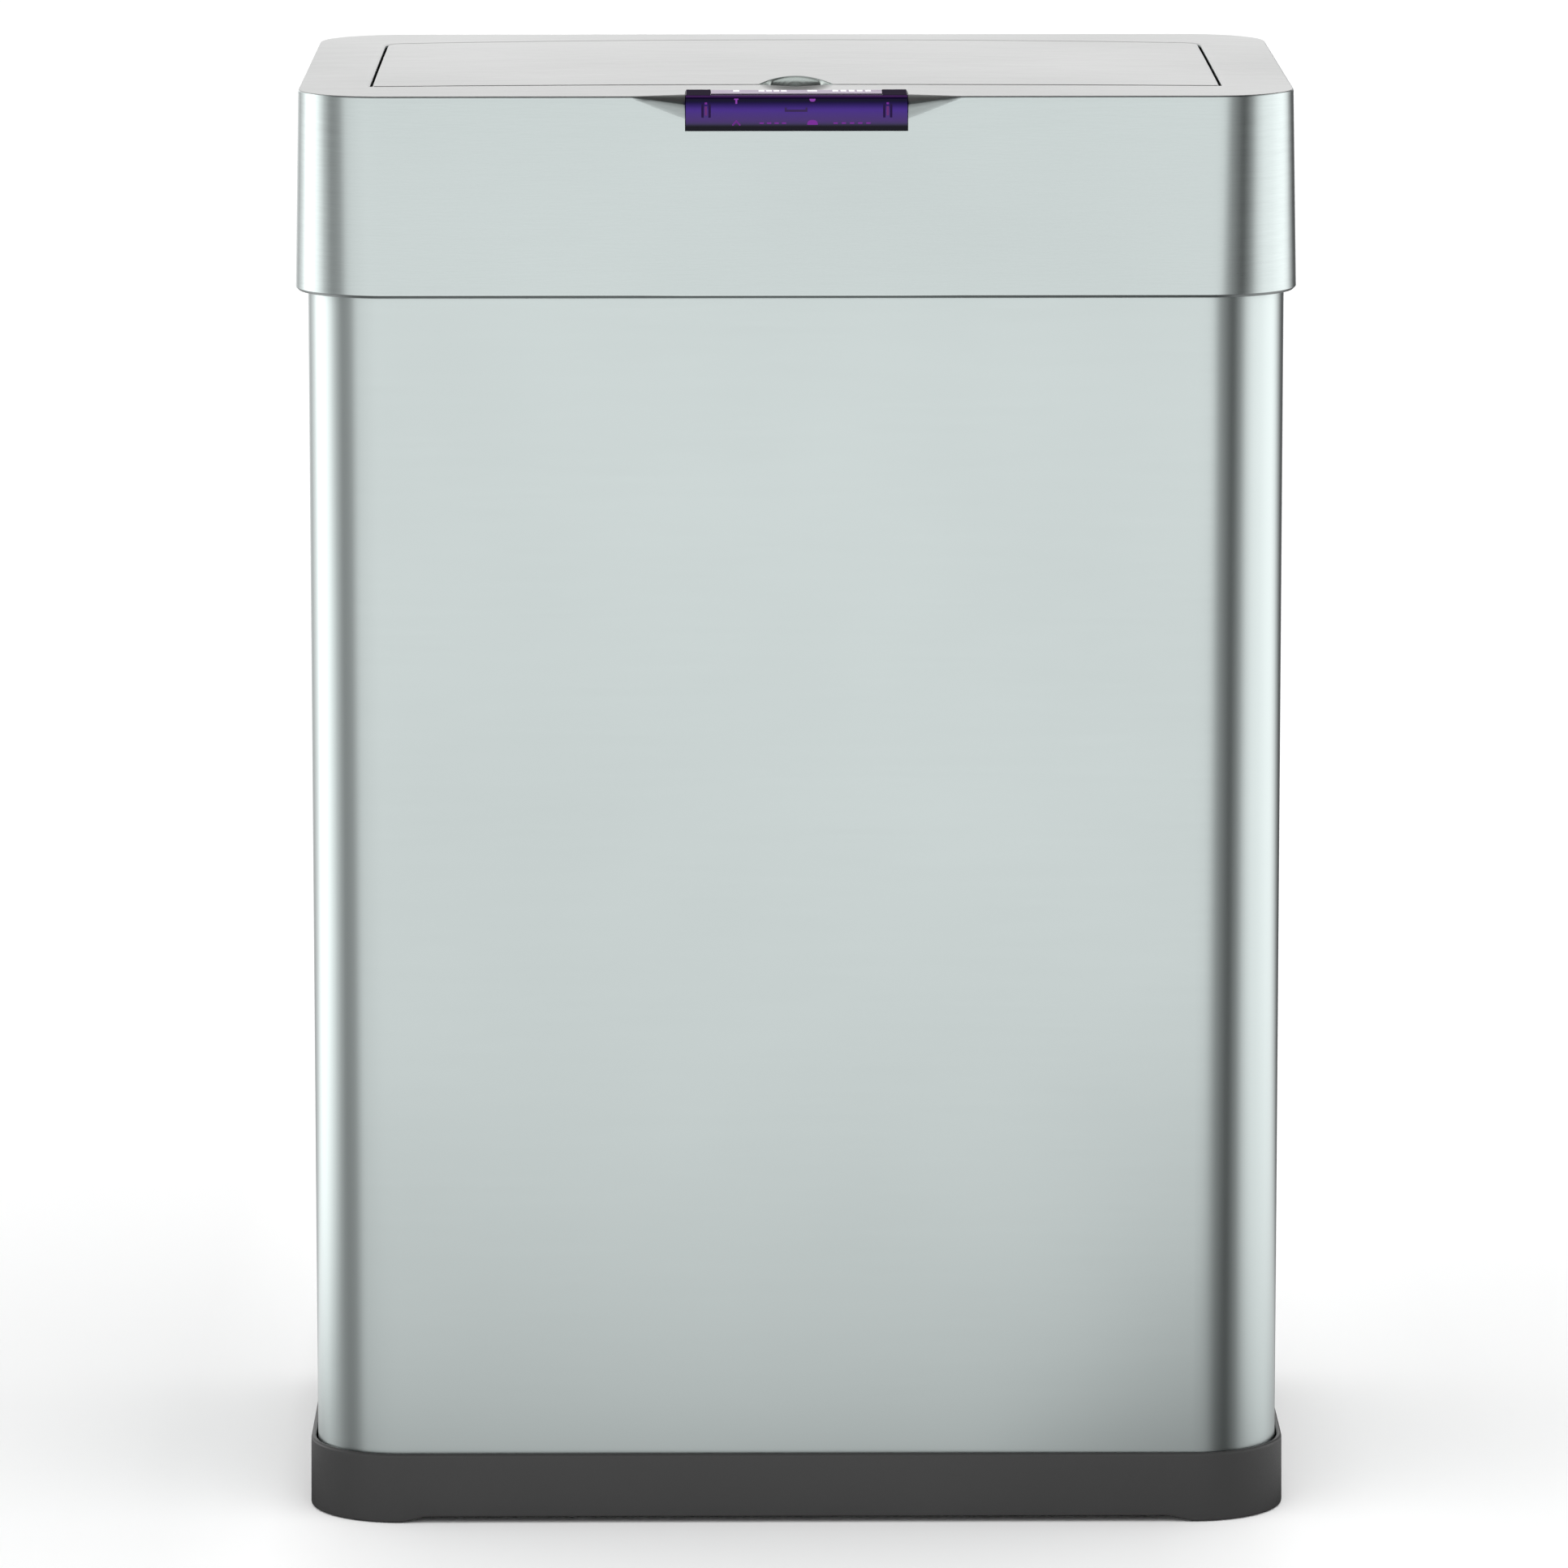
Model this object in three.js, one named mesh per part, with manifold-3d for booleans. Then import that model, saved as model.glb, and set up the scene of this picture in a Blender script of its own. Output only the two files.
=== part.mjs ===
// Waste bin with a motion-sensing motor lid: a stainless body on a plastic base tray, and a
// removable head that carries the flap, its drive, the batteries and the sensor bar.
// Millimetres, +Z up, front towards -Y, origin at the bottom centre of the feet.
import * as THREE from 'three';
import { mergeVertices } from 'three/addons/utils/BufferGeometryUtils.js';
import Module from 'manifold-3d';

const wasm = await Module();
wasm.setup();

// ---------------------------------------------------------------- driving dimensions
const HEIGHT = 608; // floor to the edge of the top plate
const SKIRT_FOOT = { w: 420, d: 293.1, r: 38.9, z: 524.5 }; // widest part of the head
const SKIRT_TOP = { w: 416.5, d: 289.8, r: 35, z: 606.8 };
const BODY = { w: 410, d: 282.5, r: 36.2, z0: 8.3, z1: 548 };
const BASE_FOOT = { w: 416.4, d: 288.5, r: 39.3, z: 0.3 };
const BASE_TOP = { w: 415.9, d: 288.2, r: 39, z: 30 };
const STEEL = 0.6; // sheet of the body and skirt
const PLATE = 0.8; // sheet of the top plate and flap
const GAP = 0.3; // room left between pieces that touch
const CORNER_STEPS = 8; // facets in each rounded corner

const DOME = { rise: 1.87, halfX: 208.25, halfY: 144.9 }; // crown of the lid
const FLAP = { halfX: 178.7, front: -102.8, back: 108, bow: 12, cornerR: 11, seam: 1.2 };
const SCOOP = { halfX: 15, length: 35, depth: 5, lipDepth: 0.6, lipRun: 22 };
const AXIS = { y: 80, z: 598 }; // flap hinge line, along X
const OPEN_DEG = 81; // nine sector teeth

const BAR = { halfX: 46, front: -146.4, back: -126, z0: 593.8, z1: 608.6, wall: 1.6, chamfer: 2 };
const STRIP = { halfX: 35.6, front: -143.5, back: -127.5, thick: 0.5 };
const NOTCH = { halfX: 68.5, lowZ: 598.5, backY: -133 };

const CHASSIS = { z0: 552, floor: 2.5, wall: 2, top: 606 };
const THROAT = { halfX: 166, front: -94, back: 74, lipZ: 540, wall: 2 };
const BAY = { sideX: 179.8, wall: 2.2, frontY: -99.5, backY: 113, top: 600 };
const CELL = { r: 17.1, length: 61.5, y: -121, z: 573, firstX: 53.5, step: 62 };
const COVER = { x0: 62, x1: 170, y0: -138, y1: -104, thick: 2.2, ribDown: 0.6, slide: 12 };
const REAR = { halfX: 46, z0: 560, z1: 592, y0: 143.2, y1: 145.2 };
const GEAR = { module: 1, teeth: 40, pinionTeeth: 12, meshDeg: 247, x0: 184, x1: 189 };

// ---------------------------------------------------------------- solids
function solid(geometry) {
  const bare = geometry.clone();
  bare.deleteAttribute('normal');
  bare.deleteAttribute('uv');
  const merged = mergeVertices(bare, 1e-4);
  return new wasm.Manifold(new wasm.Mesh({
    numProp: 3,
    vertProperties: Float32Array.from(merged.attributes.position.array),
    triVerts: Uint32Array.from(merged.index.array),
  }));
}

function geometryOf(manifold) {
  const mesh = manifold.getMesh();
  const geometry = new THREE.BufferGeometry();
  geometry.setAttribute('position', new THREE.BufferAttribute(mesh.vertProperties, 3));
  geometry.setIndex(new THREE.BufferAttribute(mesh.triVerts, 1));
  return geometry;
}

function box(x0, x1, y0, y1, z0, z1) {
  const geometry = new THREE.BoxGeometry(x1 - x0, y1 - y0, z1 - z0);
  geometry.translate((x0 + x1) / 2, (y0 + y1) / 2, (z0 + z1) / 2);
  return solid(geometry);
}

const rodX = (r, x0, x1, y, z, sides = 24) => {
  const geometry = new THREE.CylinderGeometry(r, r, x1 - x0, sides);
  geometry.rotateZ(-Math.PI / 2).translate((x0 + x1) / 2, y, z);
  return solid(geometry);
};

const rodY = (r, y0, y1, x, z, sides = 24) => {
  const geometry = new THREE.CylinderGeometry(r, r, y1 - y0, sides);
  geometry.translate(x, (y0 + y1) / 2, z);
  return solid(geometry);
};

const rodZ = (r, z0, z1, x, y, sides = 24) => {
  const geometry = new THREE.CylinderGeometry(r, r, z1 - z0, sides);
  geometry.rotateX(Math.PI / 2).translate(x, y, (z0 + z1) / 2);
  return solid(geometry);
};

// A drawn outline pushed along Z, or along X when it is drawn in the Y-Z plane.
function prismZ(shape, z0, z1, curveSegments = CORNER_STEPS) {
  const geometry = new THREE.ExtrudeGeometry(shape, { depth: z1 - z0, bevelEnabled: false, curveSegments });
  return solid(geometry.translate(0, 0, z0));
}

function prismX(shape, x0, x1, curveSegments = CORNER_STEPS) {
  const geometry = new THREE.ExtrudeGeometry(shape, { depth: x1 - x0, bevelEnabled: false, curveSegments });
  const axes = [new THREE.Vector3(0, 1, 0), new THREE.Vector3(0, 0, 1), new THREE.Vector3(1, 0, 0)];
  geometry.applyMatrix4(new THREE.Matrix4().makeBasis(...axes));
  return solid(geometry.translate(x0, 0, 0));
}

// Rounded-rectangle section of a loft, counter-clockwise seen from above.
function section({ w, d, r, z }) {
  const points = [];
  for (const [sx, sy, start] of [[1, 1, 0], [-1, 1, 90], [-1, -1, 180], [1, -1, 270]]) {
    for (let i = 0; i <= CORNER_STEPS; i++) {
      const angle = THREE.MathUtils.degToRad(start + (90 * i) / CORNER_STEPS);
      const x = sx * (w / 2 - r) + r * Math.cos(angle);
      const y = sy * (d / 2 - r) + r * Math.sin(angle);
      points.push(x, y, z);
    }
  }
  return points;
}

// Skins the sections in order. A tube's last section joins its first; a block gets end caps.
function loft(sections, tube) {
  const count = 4 * (CORNER_STEPS + 1);
  const positions = sections.flatMap(section);
  const index = [];
  const bands = tube ? sections.length : sections.length - 1;
  for (let s = 0; s < bands; s++) {
    const low = s * count;
    const high = ((s + 1) % sections.length) * count;
    for (let i = 0; i < count; i++) {
      const next = (i + 1) % count;
      index.push(low + i, low + next, high + next, low + i, high + next, high + i);
    }
  }
  if (!tube) {
    const last = (sections.length - 1) * count;
    for (let i = 1; i < count - 1; i++) {
      index.push(0, i + 1, i, last, last + i, last + i + 1);
    }
  }
  const geometry = new THREE.BufferGeometry();
  geometry.setAttribute('position', new THREE.Float32BufferAttribute(positions, 3));
  geometry.setIndex(index);
  return solid(geometry);
}

const inset = (s, by, z = s.z) => ({ w: s.w - 2 * by, d: s.d - 2 * by, r: s.r - by, z });

// The skirt's outer section at a height, between its foot and its top.
function skirtAt(z) {
  const t = (z - SKIRT_FOOT.z) / (SKIRT_TOP.z - SKIRT_FOOT.z);
  const mix = (key) => THREE.MathUtils.lerp(SKIRT_FOOT[key], SKIRT_TOP[key], t);
  return { w: mix('w'), d: mix('d'), r: mix('r'), z };
}

function triangleSlab(corners, from, to) {
  const [a, b, c] = corners.map((p) => new THREE.Vector3(...p));
  const normal = b.clone().sub(a).cross(c.clone().sub(a)).normalize();
  const at = (p, distance) => p.clone().addScaledVector(normal, distance).toArray();
  const positions = [a, b, c].flatMap((p) => at(p, from)).concat([a, b, c].flatMap((p) => at(p, to)));
  const geometry = new THREE.BufferGeometry();
  geometry.setAttribute('position', new THREE.Float32BufferAttribute(positions, 3));
  geometry.setIndex([0, 2, 1, 3, 4, 5, 0, 1, 4, 0, 4, 3, 1, 2, 5, 1, 5, 4, 2, 0, 3, 2, 3, 5]);
  return solid(geometry);
}

const mirrored = (manifold) => manifold.mirror([1, 0, 0]);

// The range from a to b along X on the right side, or its mirror image on the left side.
const span = (side, a, b) => (side < 0 ? [-b, -a] : [a, b]);

// ---------------------------------------------------------------- materials
const finish = (color, roughness, metalness) => (
  new THREE.MeshStandardMaterial({ color, roughness, metalness })
);
const brushedSteel = finish(0xccd2d1, 0.35, 1);
const basePlastic = finish(0x4a4a4a, 0.55, 0);
const blackPlastic = finish(0x1b1b1d, 0.6, 0);
const greyPlastic = finish(0x6b6d70, 0.6, 0);
const rubber = finish(0x202020, 0.9, 0);
const violetWindow = finish(0x3a2470, 0.1, 0);
const glossStrip = finish(0xd2c6dc, 0.12, 0);
const nylon = finish(0xe6e4dc, 0.5, 0);
const zincSteel = finish(0xb9bcc0, 0.35, 1);
const springSteel = finish(0x9ea2a6, 0.3, 1);
const cellCan = finish(0x8c8f92, 0.35, 0.6);
const circuitBoard = finish(0x1f5a34, 0.5, 0);
const indicator = finish(0xc030c8, 0.3, 0);
const cableSkin = finish(0x2a2a2e, 0.6, 0);

const bin = new THREE.Group();

function add(name, manifold, material, place = [0, 0, 0]) {
  const mesh = new THREE.Mesh(geometryOf(manifold), material);
  mesh.name = name;
  mesh.position.set(...place);
  bin.add(mesh);
}

// ---------------------------------------------------------------- base tray and feet
const TRAY = { wall: 2.2, floorLow: 5, floorHigh: 8 };
const TRAY_HOLLOWS = [{ halfX: 160, halfY: 140 }, { halfX: 203.5, halfY: 96 }];
const ARCH = { rise: 2.7, endX: 168, endY: 104, slope: 10 };
const FOOT = { x: 184, y: 120, r: 9, height: 3 };

// Section of the shallow arch under one pair of the tray's sides, open downwards.
function archSection(end) {
  const flat = end - ARCH.slope;
  const low = BASE_FOOT.z;
  const outline = [[-end, -1], [end, -1], [end, low], [flat, ARCH.rise], [-flat, ARCH.rise], [-end, low]];
  return new THREE.Shape(outline.map(([across, up]) => new THREE.Vector2(across, up)));
}

function baseTray() {
  const { wall, floorLow, floorHigh } = TRAY;
  let tray = loft([BASE_FOOT, BASE_TOP], false);
  const hollowFoot = inset(BASE_TOP, wall, floorHigh);
  const hollowTop = inset(BASE_TOP, wall, BASE_TOP.z + 10);
  tray = tray.subtract(loft([hollowFoot, hollowTop], false));
  for (const { halfX, halfY } of TRAY_HOLLOWS) {
    tray = tray.subtract(box(-halfX, halfX, -halfY, halfY, -1, floorLow));
  }
  tray = tray.subtract(prismX(archSection(ARCH.endY), -BASE_FOOT.w, BASE_FOOT.w));
  tray = tray.subtract(prismX(archSection(ARCH.endX), -BASE_FOOT.d, BASE_FOOT.d).rotate([0, 0, 90]));
  for (const [sx, sy] of [[-1, -1], [1, -1], [-1, 1], [1, 1]]) {
    tray = tray.subtract(rodZ(FOOT.r + GAP, -1, FOOT.height + GAP, sx * FOOT.x, sy * FOOT.y));
  }
  return tray;
}
add('base_tray', baseTray(), basePlastic);

for (const [side, sx] of [['left', -1], ['right', 1]]) {
  for (const [end, sy] of [['front', -1], ['back', 1]]) {
    add(`foot_${end}_${side}`, rodZ(FOOT.r, 0, FOOT.height, 0, 0), rubber, [sx * FOOT.x, sy * FOOT.y, 0]);
  }
}

// ---------------------------------------------------------------- body
const bodyAt = (z, by = 0) => inset({ ...BODY, z }, by);

function bodyShell() {
  return loft([bodyAt(BODY.z0), bodyAt(BODY.z1), bodyAt(BODY.z1, STEEL), bodyAt(BODY.z0, STEEL)], true);
}
add('body_shell', bodyShell(), brushedSteel);

// Moulded collar that caps the sheet's upper edge and carries the bag ring on a ledge.
const LEDGE = { z: 546, inner: 9, thick: 2 };
const COLLAR = { low: 528, top: 549.5, proud: 0.3, lipInner: 4.5, skirtInner: 2.9 };

function bodyCollar() {
  const { low, top, proud, lipInner, skirtInner } = COLLAR;
  const inside = STEEL + GAP;
  const cap = BODY.z1 + GAP;
  const ledgeLow = LEDGE.z - LEDGE.thick;
  return loft([
    bodyAt(low, inside), bodyAt(cap, inside), bodyAt(cap, -proud), bodyAt(top, -proud),
    bodyAt(top, lipInner), bodyAt(LEDGE.z, lipInner), bodyAt(LEDGE.z, LEDGE.inner),
    bodyAt(ledgeLow, LEDGE.inner), bodyAt(ledgeLow, skirtInner), bodyAt(low, skirtInner),
  ], true);
}
add('body_collar', bodyCollar(), blackPlastic);

// Ring that traps the bag's edge: an outward flange on the ledge and a skirt that hangs inside it.
const RING = { low: 516, high: 549.2, flangeInset: 5, skirtInset: 9.8, wall: 2 };

function bagRing() {
  const { low, high, flangeInset, skirtInset, wall } = RING;
  const flangeLow = LEDGE.z + GAP;
  return loft([
    bodyAt(low, skirtInset), bodyAt(flangeLow, skirtInset), bodyAt(flangeLow, flangeInset),
    bodyAt(high, flangeInset), bodyAt(high, skirtInset + wall), bodyAt(low, skirtInset + wall),
  ], true);
}
add('bag_ring', bagRing(), greyPlastic);

// ---------------------------------------------------------------- head: skirt and top plate
// Outward side of a bevel triangle beside the sensor bar; it fades to nothing at its tip.
const bevelCorners = (scale) => {
  const tip = [NOTCH.halfX, -DOME.halfY - 0.1, SKIRT_TOP.z + 0.5];
  const low = [BAR.halfX + GAP, -skirtAt(NOTCH.lowZ).d / 2, NOTCH.lowZ];
  const back = [BAR.halfX + GAP, NOTCH.backY, HEIGHT + 0.45];
  const stretch = (p) => p.map((value, k) => tip[k] + (value - tip[k]) * scale);
  return [tip, stretch(back), stretch(low)];
};

const AHEAD = -160; // in front of everything, for cutters
const ABOVE = 620; // above everything, for cutters

const barCut = () => (
  box(-BAR.halfX - GAP, BAR.halfX + GAP, AHEAD, BAR.back + GAP, BAR.z0 - GAP, ABOVE)
);

function cutNotch(manifold, deeper) {
  const wedge = triangleSlab(bevelCorners(1.25), -deeper, 30);
  return manifold.subtract(wedge).subtract(mirrored(wedge)).subtract(barCut());
}

const HEM = { round: 0.9, turnIn: 3 };
const SKIRT_EDGE = { down: 0.8, inward: 0.5 };

function rimSkirt() {
  const foot = SKIRT_FOOT;
  const top = SKIRT_TOP;
  let skirt = loft([
    inset(foot, HEM.round), { ...foot, z: foot.z + HEM.round }, { ...top, z: top.z - SKIRT_EDGE.down },
    inset(top, SKIRT_EDGE.inward), inset(top, SKIRT_EDGE.inward + STEEL),
    inset(foot, STEEL, foot.z + HEM.round + STEEL), inset(foot, HEM.turnIn, foot.z + STEEL + 0.2),
    inset(foot, HEM.turnIn),
  ], true);
  skirt = cutNotch(skirt, 2 * STEEL);
  const { halfX, y0, z0, z1 } = REAR;
  return skirt.subtract(box(-halfX - GAP, halfX + GAP, y0 - 10, y0 + 20, z0 - GAP, z1 + GAP));
}
add('rim_skirt', rimSkirt(), brushedSteel);

// Height of the domed lid surface above HEIGHT, with the thumb scoop and the dish before it.
function lidRise(x, y) {
  const crown = DOME.rise * (1 - (y / DOME.halfY) ** 2) * (1 - (x / DOME.halfX) ** 2);
  const behind = y - FLAP.front;
  let dip = 0;
  if (behind >= 0) {
    const reach = Math.hypot(x / SCOOP.halfX, behind / SCOOP.length);
    const wall = THREE.MathUtils.smoothstep(1 - reach, 0, 0.22);
    dip = SCOOP.depth * Math.max(0, 1 - behind / SCOOP.length) * wall;
  } else {
    const reach = Math.hypot(x / SCOOP.halfX, behind / SCOOP.lipRun);
    dip = SCOOP.lipDepth * Math.max(0, 1 - reach) ** 2;
  }
  return crown - dip;
}

// Grid of the lid surface, closer together around the thumb scoop.
const SHEET_X = [-208.4, -165, -110, -55, -17, -14, -9, -4, 0, 4, 9, 14, 17, 55, 110, 165, 208.4];
const SHEET_Y = [-145.2, -124, -112, -107, -101.6, -94, -85, -75, -65, -30, 20, 65, 105, 145.2];

// A sheet that follows the lid surface, wide enough for the plate and the flap.
function lidSheet(upper, lower) {
  const positions = [];
  for (const offset of [upper, lower]) {
    for (const y of SHEET_Y) {
      for (const x of SHEET_X) positions.push(x, y, HEIGHT + offset + lidRise(x, y));
    }
  }
  const across = SHEET_X.length;
  const below = across * SHEET_Y.length;
  const index = [];
  const quad = (a, b, c, d) => index.push(a, b, c, a, c, d);
  for (let j = 0; j < SHEET_Y.length - 1; j++) {
    for (let i = 0; i < across - 1; i++) {
      const a = j * across + i;
      quad(a, a + 1, a + 1 + across, a + across);
      quad(below + a, below + a + across, below + a + 1 + across, below + a + 1);
    }
  }
  const last = (SHEET_Y.length - 1) * across;
  for (let i = 0; i < across - 1; i++) {
    quad(i + 1, i, below + i, below + i + 1);
    quad(last + i, last + i + 1, below + last + i + 1, below + last + i);
  }
  for (let j = 0; j < SHEET_Y.length - 1; j++) {
    const left = j * across;
    const right = left + across - 1;
    quad(left, left + across, below + left + across, below + left);
    quad(right + across, right, below + right, below + right + across);
  }
  const geometry = new THREE.BufferGeometry();
  geometry.setAttribute('position', new THREE.Float32BufferAttribute(positions, 3));
  geometry.setIndex(index);
  return solid(geometry);
}

// Flap outline in plan, shrunk by a margin: straight front, back edge bowed outwards.
function flapOutline(by) {
  const { halfX, front, back, bow, cornerR } = FLAP;
  const r = cornerR - by;
  const x = halfX - by;
  const side = back - bow;
  const shape = new THREE.Shape();
  shape.moveTo(-x, front + by);
  shape.lineTo(x, front + by);
  shape.lineTo(x, side - r);
  shape.quadraticCurveTo(x, side - by, x - r, side - by + 1);
  shape.quadraticCurveTo(0, back + bow - by - 1, -x + r, side - by + 1);
  shape.quadraticCurveTo(-x, side - by, -x, side - r);
  shape.closePath();
  return shape;
}

const PLATE_EDGE = { w: 416, d: 289.2, r: 34.8 };
const UNDER_LID = 590; // below the lid sheet, for cutters
const CURVE_STEPS = 16;

function topPlate() {
  const column = loft([{ ...PLATE_EDGE, z: UNDER_LID }, { ...PLATE_EDGE, z: ABOVE }], false);
  let plate = lidSheet(0, -PLATE).intersect(column);
  plate = cutNotch(plate, 0);
  plate = plate.subtract(prismZ(flapOutline(0), UNDER_LID, ABOVE, CURVE_STEPS));
  const bevel = triangleSlab(bevelCorners(1), -PLATE, 0);
  plate = plate.add(bevel).add(mirrored(bevel));
  return plate.subtract(barCut());
}
add('top_plate', topPlate(), brushedSteel);

// ---------------------------------------------------------------- head: chassis
const BAR_SHELF = { halfX: 52, front: -141.5, z0: 589.5, z1: 592 };
const BAR_OPENING = { halfX: 72, back: -126 };
const HINGE_BOSS = { r: 8, drop: 1, boreR: 4.8, boreX0: 176, boreX1: 186 };

function headChassis() {
  const { z0, floor, wall, top } = CHASSIS;
  const clear = STEEL + GAP;
  const low = inset(skirtAt(z0), clear);
  const high = inset(skirtAt(top), clear + 0.2);
  let chassis = loft([low, high, inset(high, wall), inset(low, wall)], true);
  chassis = chassis.add(loft([low, inset(skirtAt(z0 + floor), clear)], false));

  // Walls of the flap bay, standing on the floor.
  const bayOut = BAY.sideX + BAY.wall;
  const bay = box(-bayOut, bayOut, BAY.frontY, BAY.backY + 2, z0 + 1, BAY.top)
    .subtract(box(-BAY.sideX, BAY.sideX, BAY.frontY + 2, BAY.backY, z0 + floor, ABOVE));
  chassis = chassis.add(bay);
  for (const side of [-1, 1]) {
    const { r, drop, boreR, boreX0, boreX1 } = HINGE_BOSS;
    chassis = chassis.add(rodX(r, ...span(side, BAY.sideX, bayOut), AXIS.y, AXIS.z - drop));
    chassis = chassis.subtract(rodX(boreR, ...span(side, boreX0, boreX1), AXIS.y, AXIS.z));
  }

  // Throat: a lip that drops into the bag ring.
  const { halfX, front, back, lipZ } = THROAT;
  const t = THROAT.wall;
  chassis = chassis.add(box(-halfX - t, halfX + t, front - t, back + t, lipZ, z0 + 1));
  chassis = chassis.subtract(box(-halfX, halfX, front, back, lipZ - 10, z0 + floor + 1));

  // Shelf under the sensor bar and the openings around it.
  const shelf = BAR_SHELF;
  const { halfX: openX, back: openBack } = BAR_OPENING;
  chassis = chassis.subtract(box(-openX, openX, AHEAD, openBack, shelf.z0, ABOVE));
  chassis = chassis.add(box(-shelf.halfX, shelf.halfX, shelf.front, BAY.frontY + 1, shelf.z0, shelf.z1));

  // Battery doors and the rear service panel.
  for (const side of [-1, 1]) {
    const across = span(side, COVER.x0 - COVER.slide - GAP, COVER.x1 + GAP);
    chassis = chassis.subtract(box(...across, COVER.y0 - GAP, COVER.y1 + GAP, z0 - 1, z0 + floor + 1));
  }
  const { halfX: rearX, y0: rearY, z0: rearLow, z1: rearHigh } = REAR;
  return chassis.subtract(box(-rearX - 1, rearX + 1, rearY - 13, rearY + 17, rearLow - 1, rearHigh + 1));
}
add('head_chassis', headChassis(), blackPlastic);

// ---------------------------------------------------------------- flap
const PIN = { r: 2.5, x0: 168, x1: 190 };
const LUG = { x0: 169.5, x1: 176, r: 6, top: 604 };
const LUG_BORE = { x0: 166, x1: 178 };
const LINER = { halfX: 172, behindFront: 2.5, back: 92, low: 602, skin: 1.4, deepest: -9 };
const POCKETS_Y = [[-54, -8], [-4, 38], [42, 72]];
const POCKETS_X = [[-166, -86], [-82, -2], [2, 82], [86, 166]];
const SCOOP_ROOM = { halfX: 19, back: -58 };
const BUSH = { flangeR: 6, flangeX0: 178.3, flangeX1: 179.5, r: 4.5, x1: 182.6, slack: 0.35 };
const BUMPER = { r: 4, top: 601.7, x: 120, behindBay: 5 };

function flapPanel() {
  return lidSheet(0, -PLATE).intersect(prismZ(flapOutline(FLAP.seam), UNDER_LID, ABOVE, CURVE_STEPS));
}
add('flap_panel', flapPanel(), brushedSteel);

// Moulded tray under the flap sheet, with ribs and the two hinge lugs.
function flapLiner() {
  const { halfX, behindFront, back, low, skin, deepest } = LINER;
  let liner = box(-halfX, halfX, FLAP.front + behindFront, back, low, ABOVE);
  liner = liner.intersect(lidSheet(-PLATE - GAP, deepest));
  const pocketTop = HEIGHT - PLATE - GAP - skin;
  for (const [y0, y1] of POCKETS_Y) {
    for (const [x0, x1] of POCKETS_X) {
      liner = liner.subtract(box(x0, x1, y0, y1, low - 1, pocketTop));
    }
  }
  const room = SCOOP_ROOM;
  liner = liner.subtract(box(-room.halfX, room.halfX, AHEAD, room.back, low - 1, ABOVE));
  for (const side of [-1, 1]) {
    const across = span(side, LUG.x0, LUG.x1);
    const lug = rodX(LUG.r, ...across, AXIS.y, AXIS.z)
      .add(box(...across, AXIS.y - LUG.r, AXIS.y + LUG.r, AXIS.z, LUG.top))
      .subtract(rodX(PIN.r + GAP, ...span(side, LUG_BORE.x0, LUG_BORE.x1), AXIS.y, AXIS.z));
    liner = liner.add(lug);
  }
  return liner;
}
add('flap_liner', flapLiner(), blackPlastic);

function hingeBush(side) {
  const { flangeR, flangeX0, flangeX1, r, x1, slack } = BUSH;
  return rodX(flangeR, ...span(side, flangeX0, flangeX1), 0, 0)
    .add(rodX(r, ...span(side, flangeX1 - 0.5, x1), 0, 0))
    .subtract(rodX(PIN.r + slack, ...span(side, flangeX0 - 1, x1 + 1), 0, 0));
}

for (const [name, side] of [['left', -1], ['right', 1]]) {
  const pin = rodX(PIN.r, ...span(side, PIN.x0, PIN.x1), 0, 0);
  add(`hinge_pin_${name}`, pin, zincSteel, [0, AXIS.y, AXIS.z]);
  add(`hinge_bush_${name}`, hingeBush(side), nylon, [0, AXIS.y, AXIS.z]);
  const bumper = rodZ(BUMPER.r, BAY.top + GAP, BUMPER.top, 0, 0, 16);
  add(`lid_bumper_${name}`, bumper, rubber, [side * BUMPER.x, BAY.frontY + BUMPER.behindBay, 0]);
}

// ---------------------------------------------------------------- flap drive
function polar(r, degrees) {
  const angle = THREE.MathUtils.degToRad(degrees);
  return new THREE.Vector2(r * Math.cos(angle), r * Math.sin(angle));
}

// Tooth depth in modules below and above the pitch circle, and its half widths as parts of a pitch.
const TOOTH = { below: 1.3, above: 0.75, rootHalf: 0.26, tipHalf: 0.1 };
const HUB = { r: 6.5, stepDeg: 26 };

// One thinned tooth of a gear, as outline points about its centre angle.
function tooth(pitchR, teeth, centre) {
  const pitchDeg = 360 / teeth;
  const root = pitchR - TOOTH.below * GEAR.module;
  const tip = pitchR + TOOTH.above * GEAR.module;
  const [wide, narrow] = [TOOTH.rootHalf * pitchDeg, TOOTH.tipHalf * pitchDeg];
  return [
    polar(root, centre - wide), polar(tip, centre - narrow),
    polar(tip, centre + narrow), polar(root, centre + wide),
  ];
}

const SECTOR_R = (GEAR.module * GEAR.teeth) / 2;
const PINION_R = (GEAR.module * GEAR.pinionTeeth) / 2;
const pinionAt = polar(SECTOR_R + PINION_R, GEAR.meshDeg);

function sectorGear() {
  const step = 360 / GEAR.teeth;
  const points = [];
  for (let k = -1; k <= OPEN_DEG / step + 1; k++) {
    points.push(...tooth(SECTOR_R, GEAR.teeth, GEAR.meshDeg + k * step));
  }
  const last = GEAR.meshDeg + OPEN_DEG + 2 * step;
  for (let a = last; a <= GEAR.meshDeg + 360 - 2 * step; a += HUB.stepDeg) points.push(polar(HUB.r, a));
  const shape = new THREE.Shape(points);
  return prismX(shape, GEAR.x0, GEAR.x1).subtract(rodX(PIN.r + GAP, GEAR.x0 - 1, GEAR.x1 + 1, 0, 0));
}
add('sector_gear', sectorGear(), nylon, [0, AXIS.y, AXIS.z]);

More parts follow.
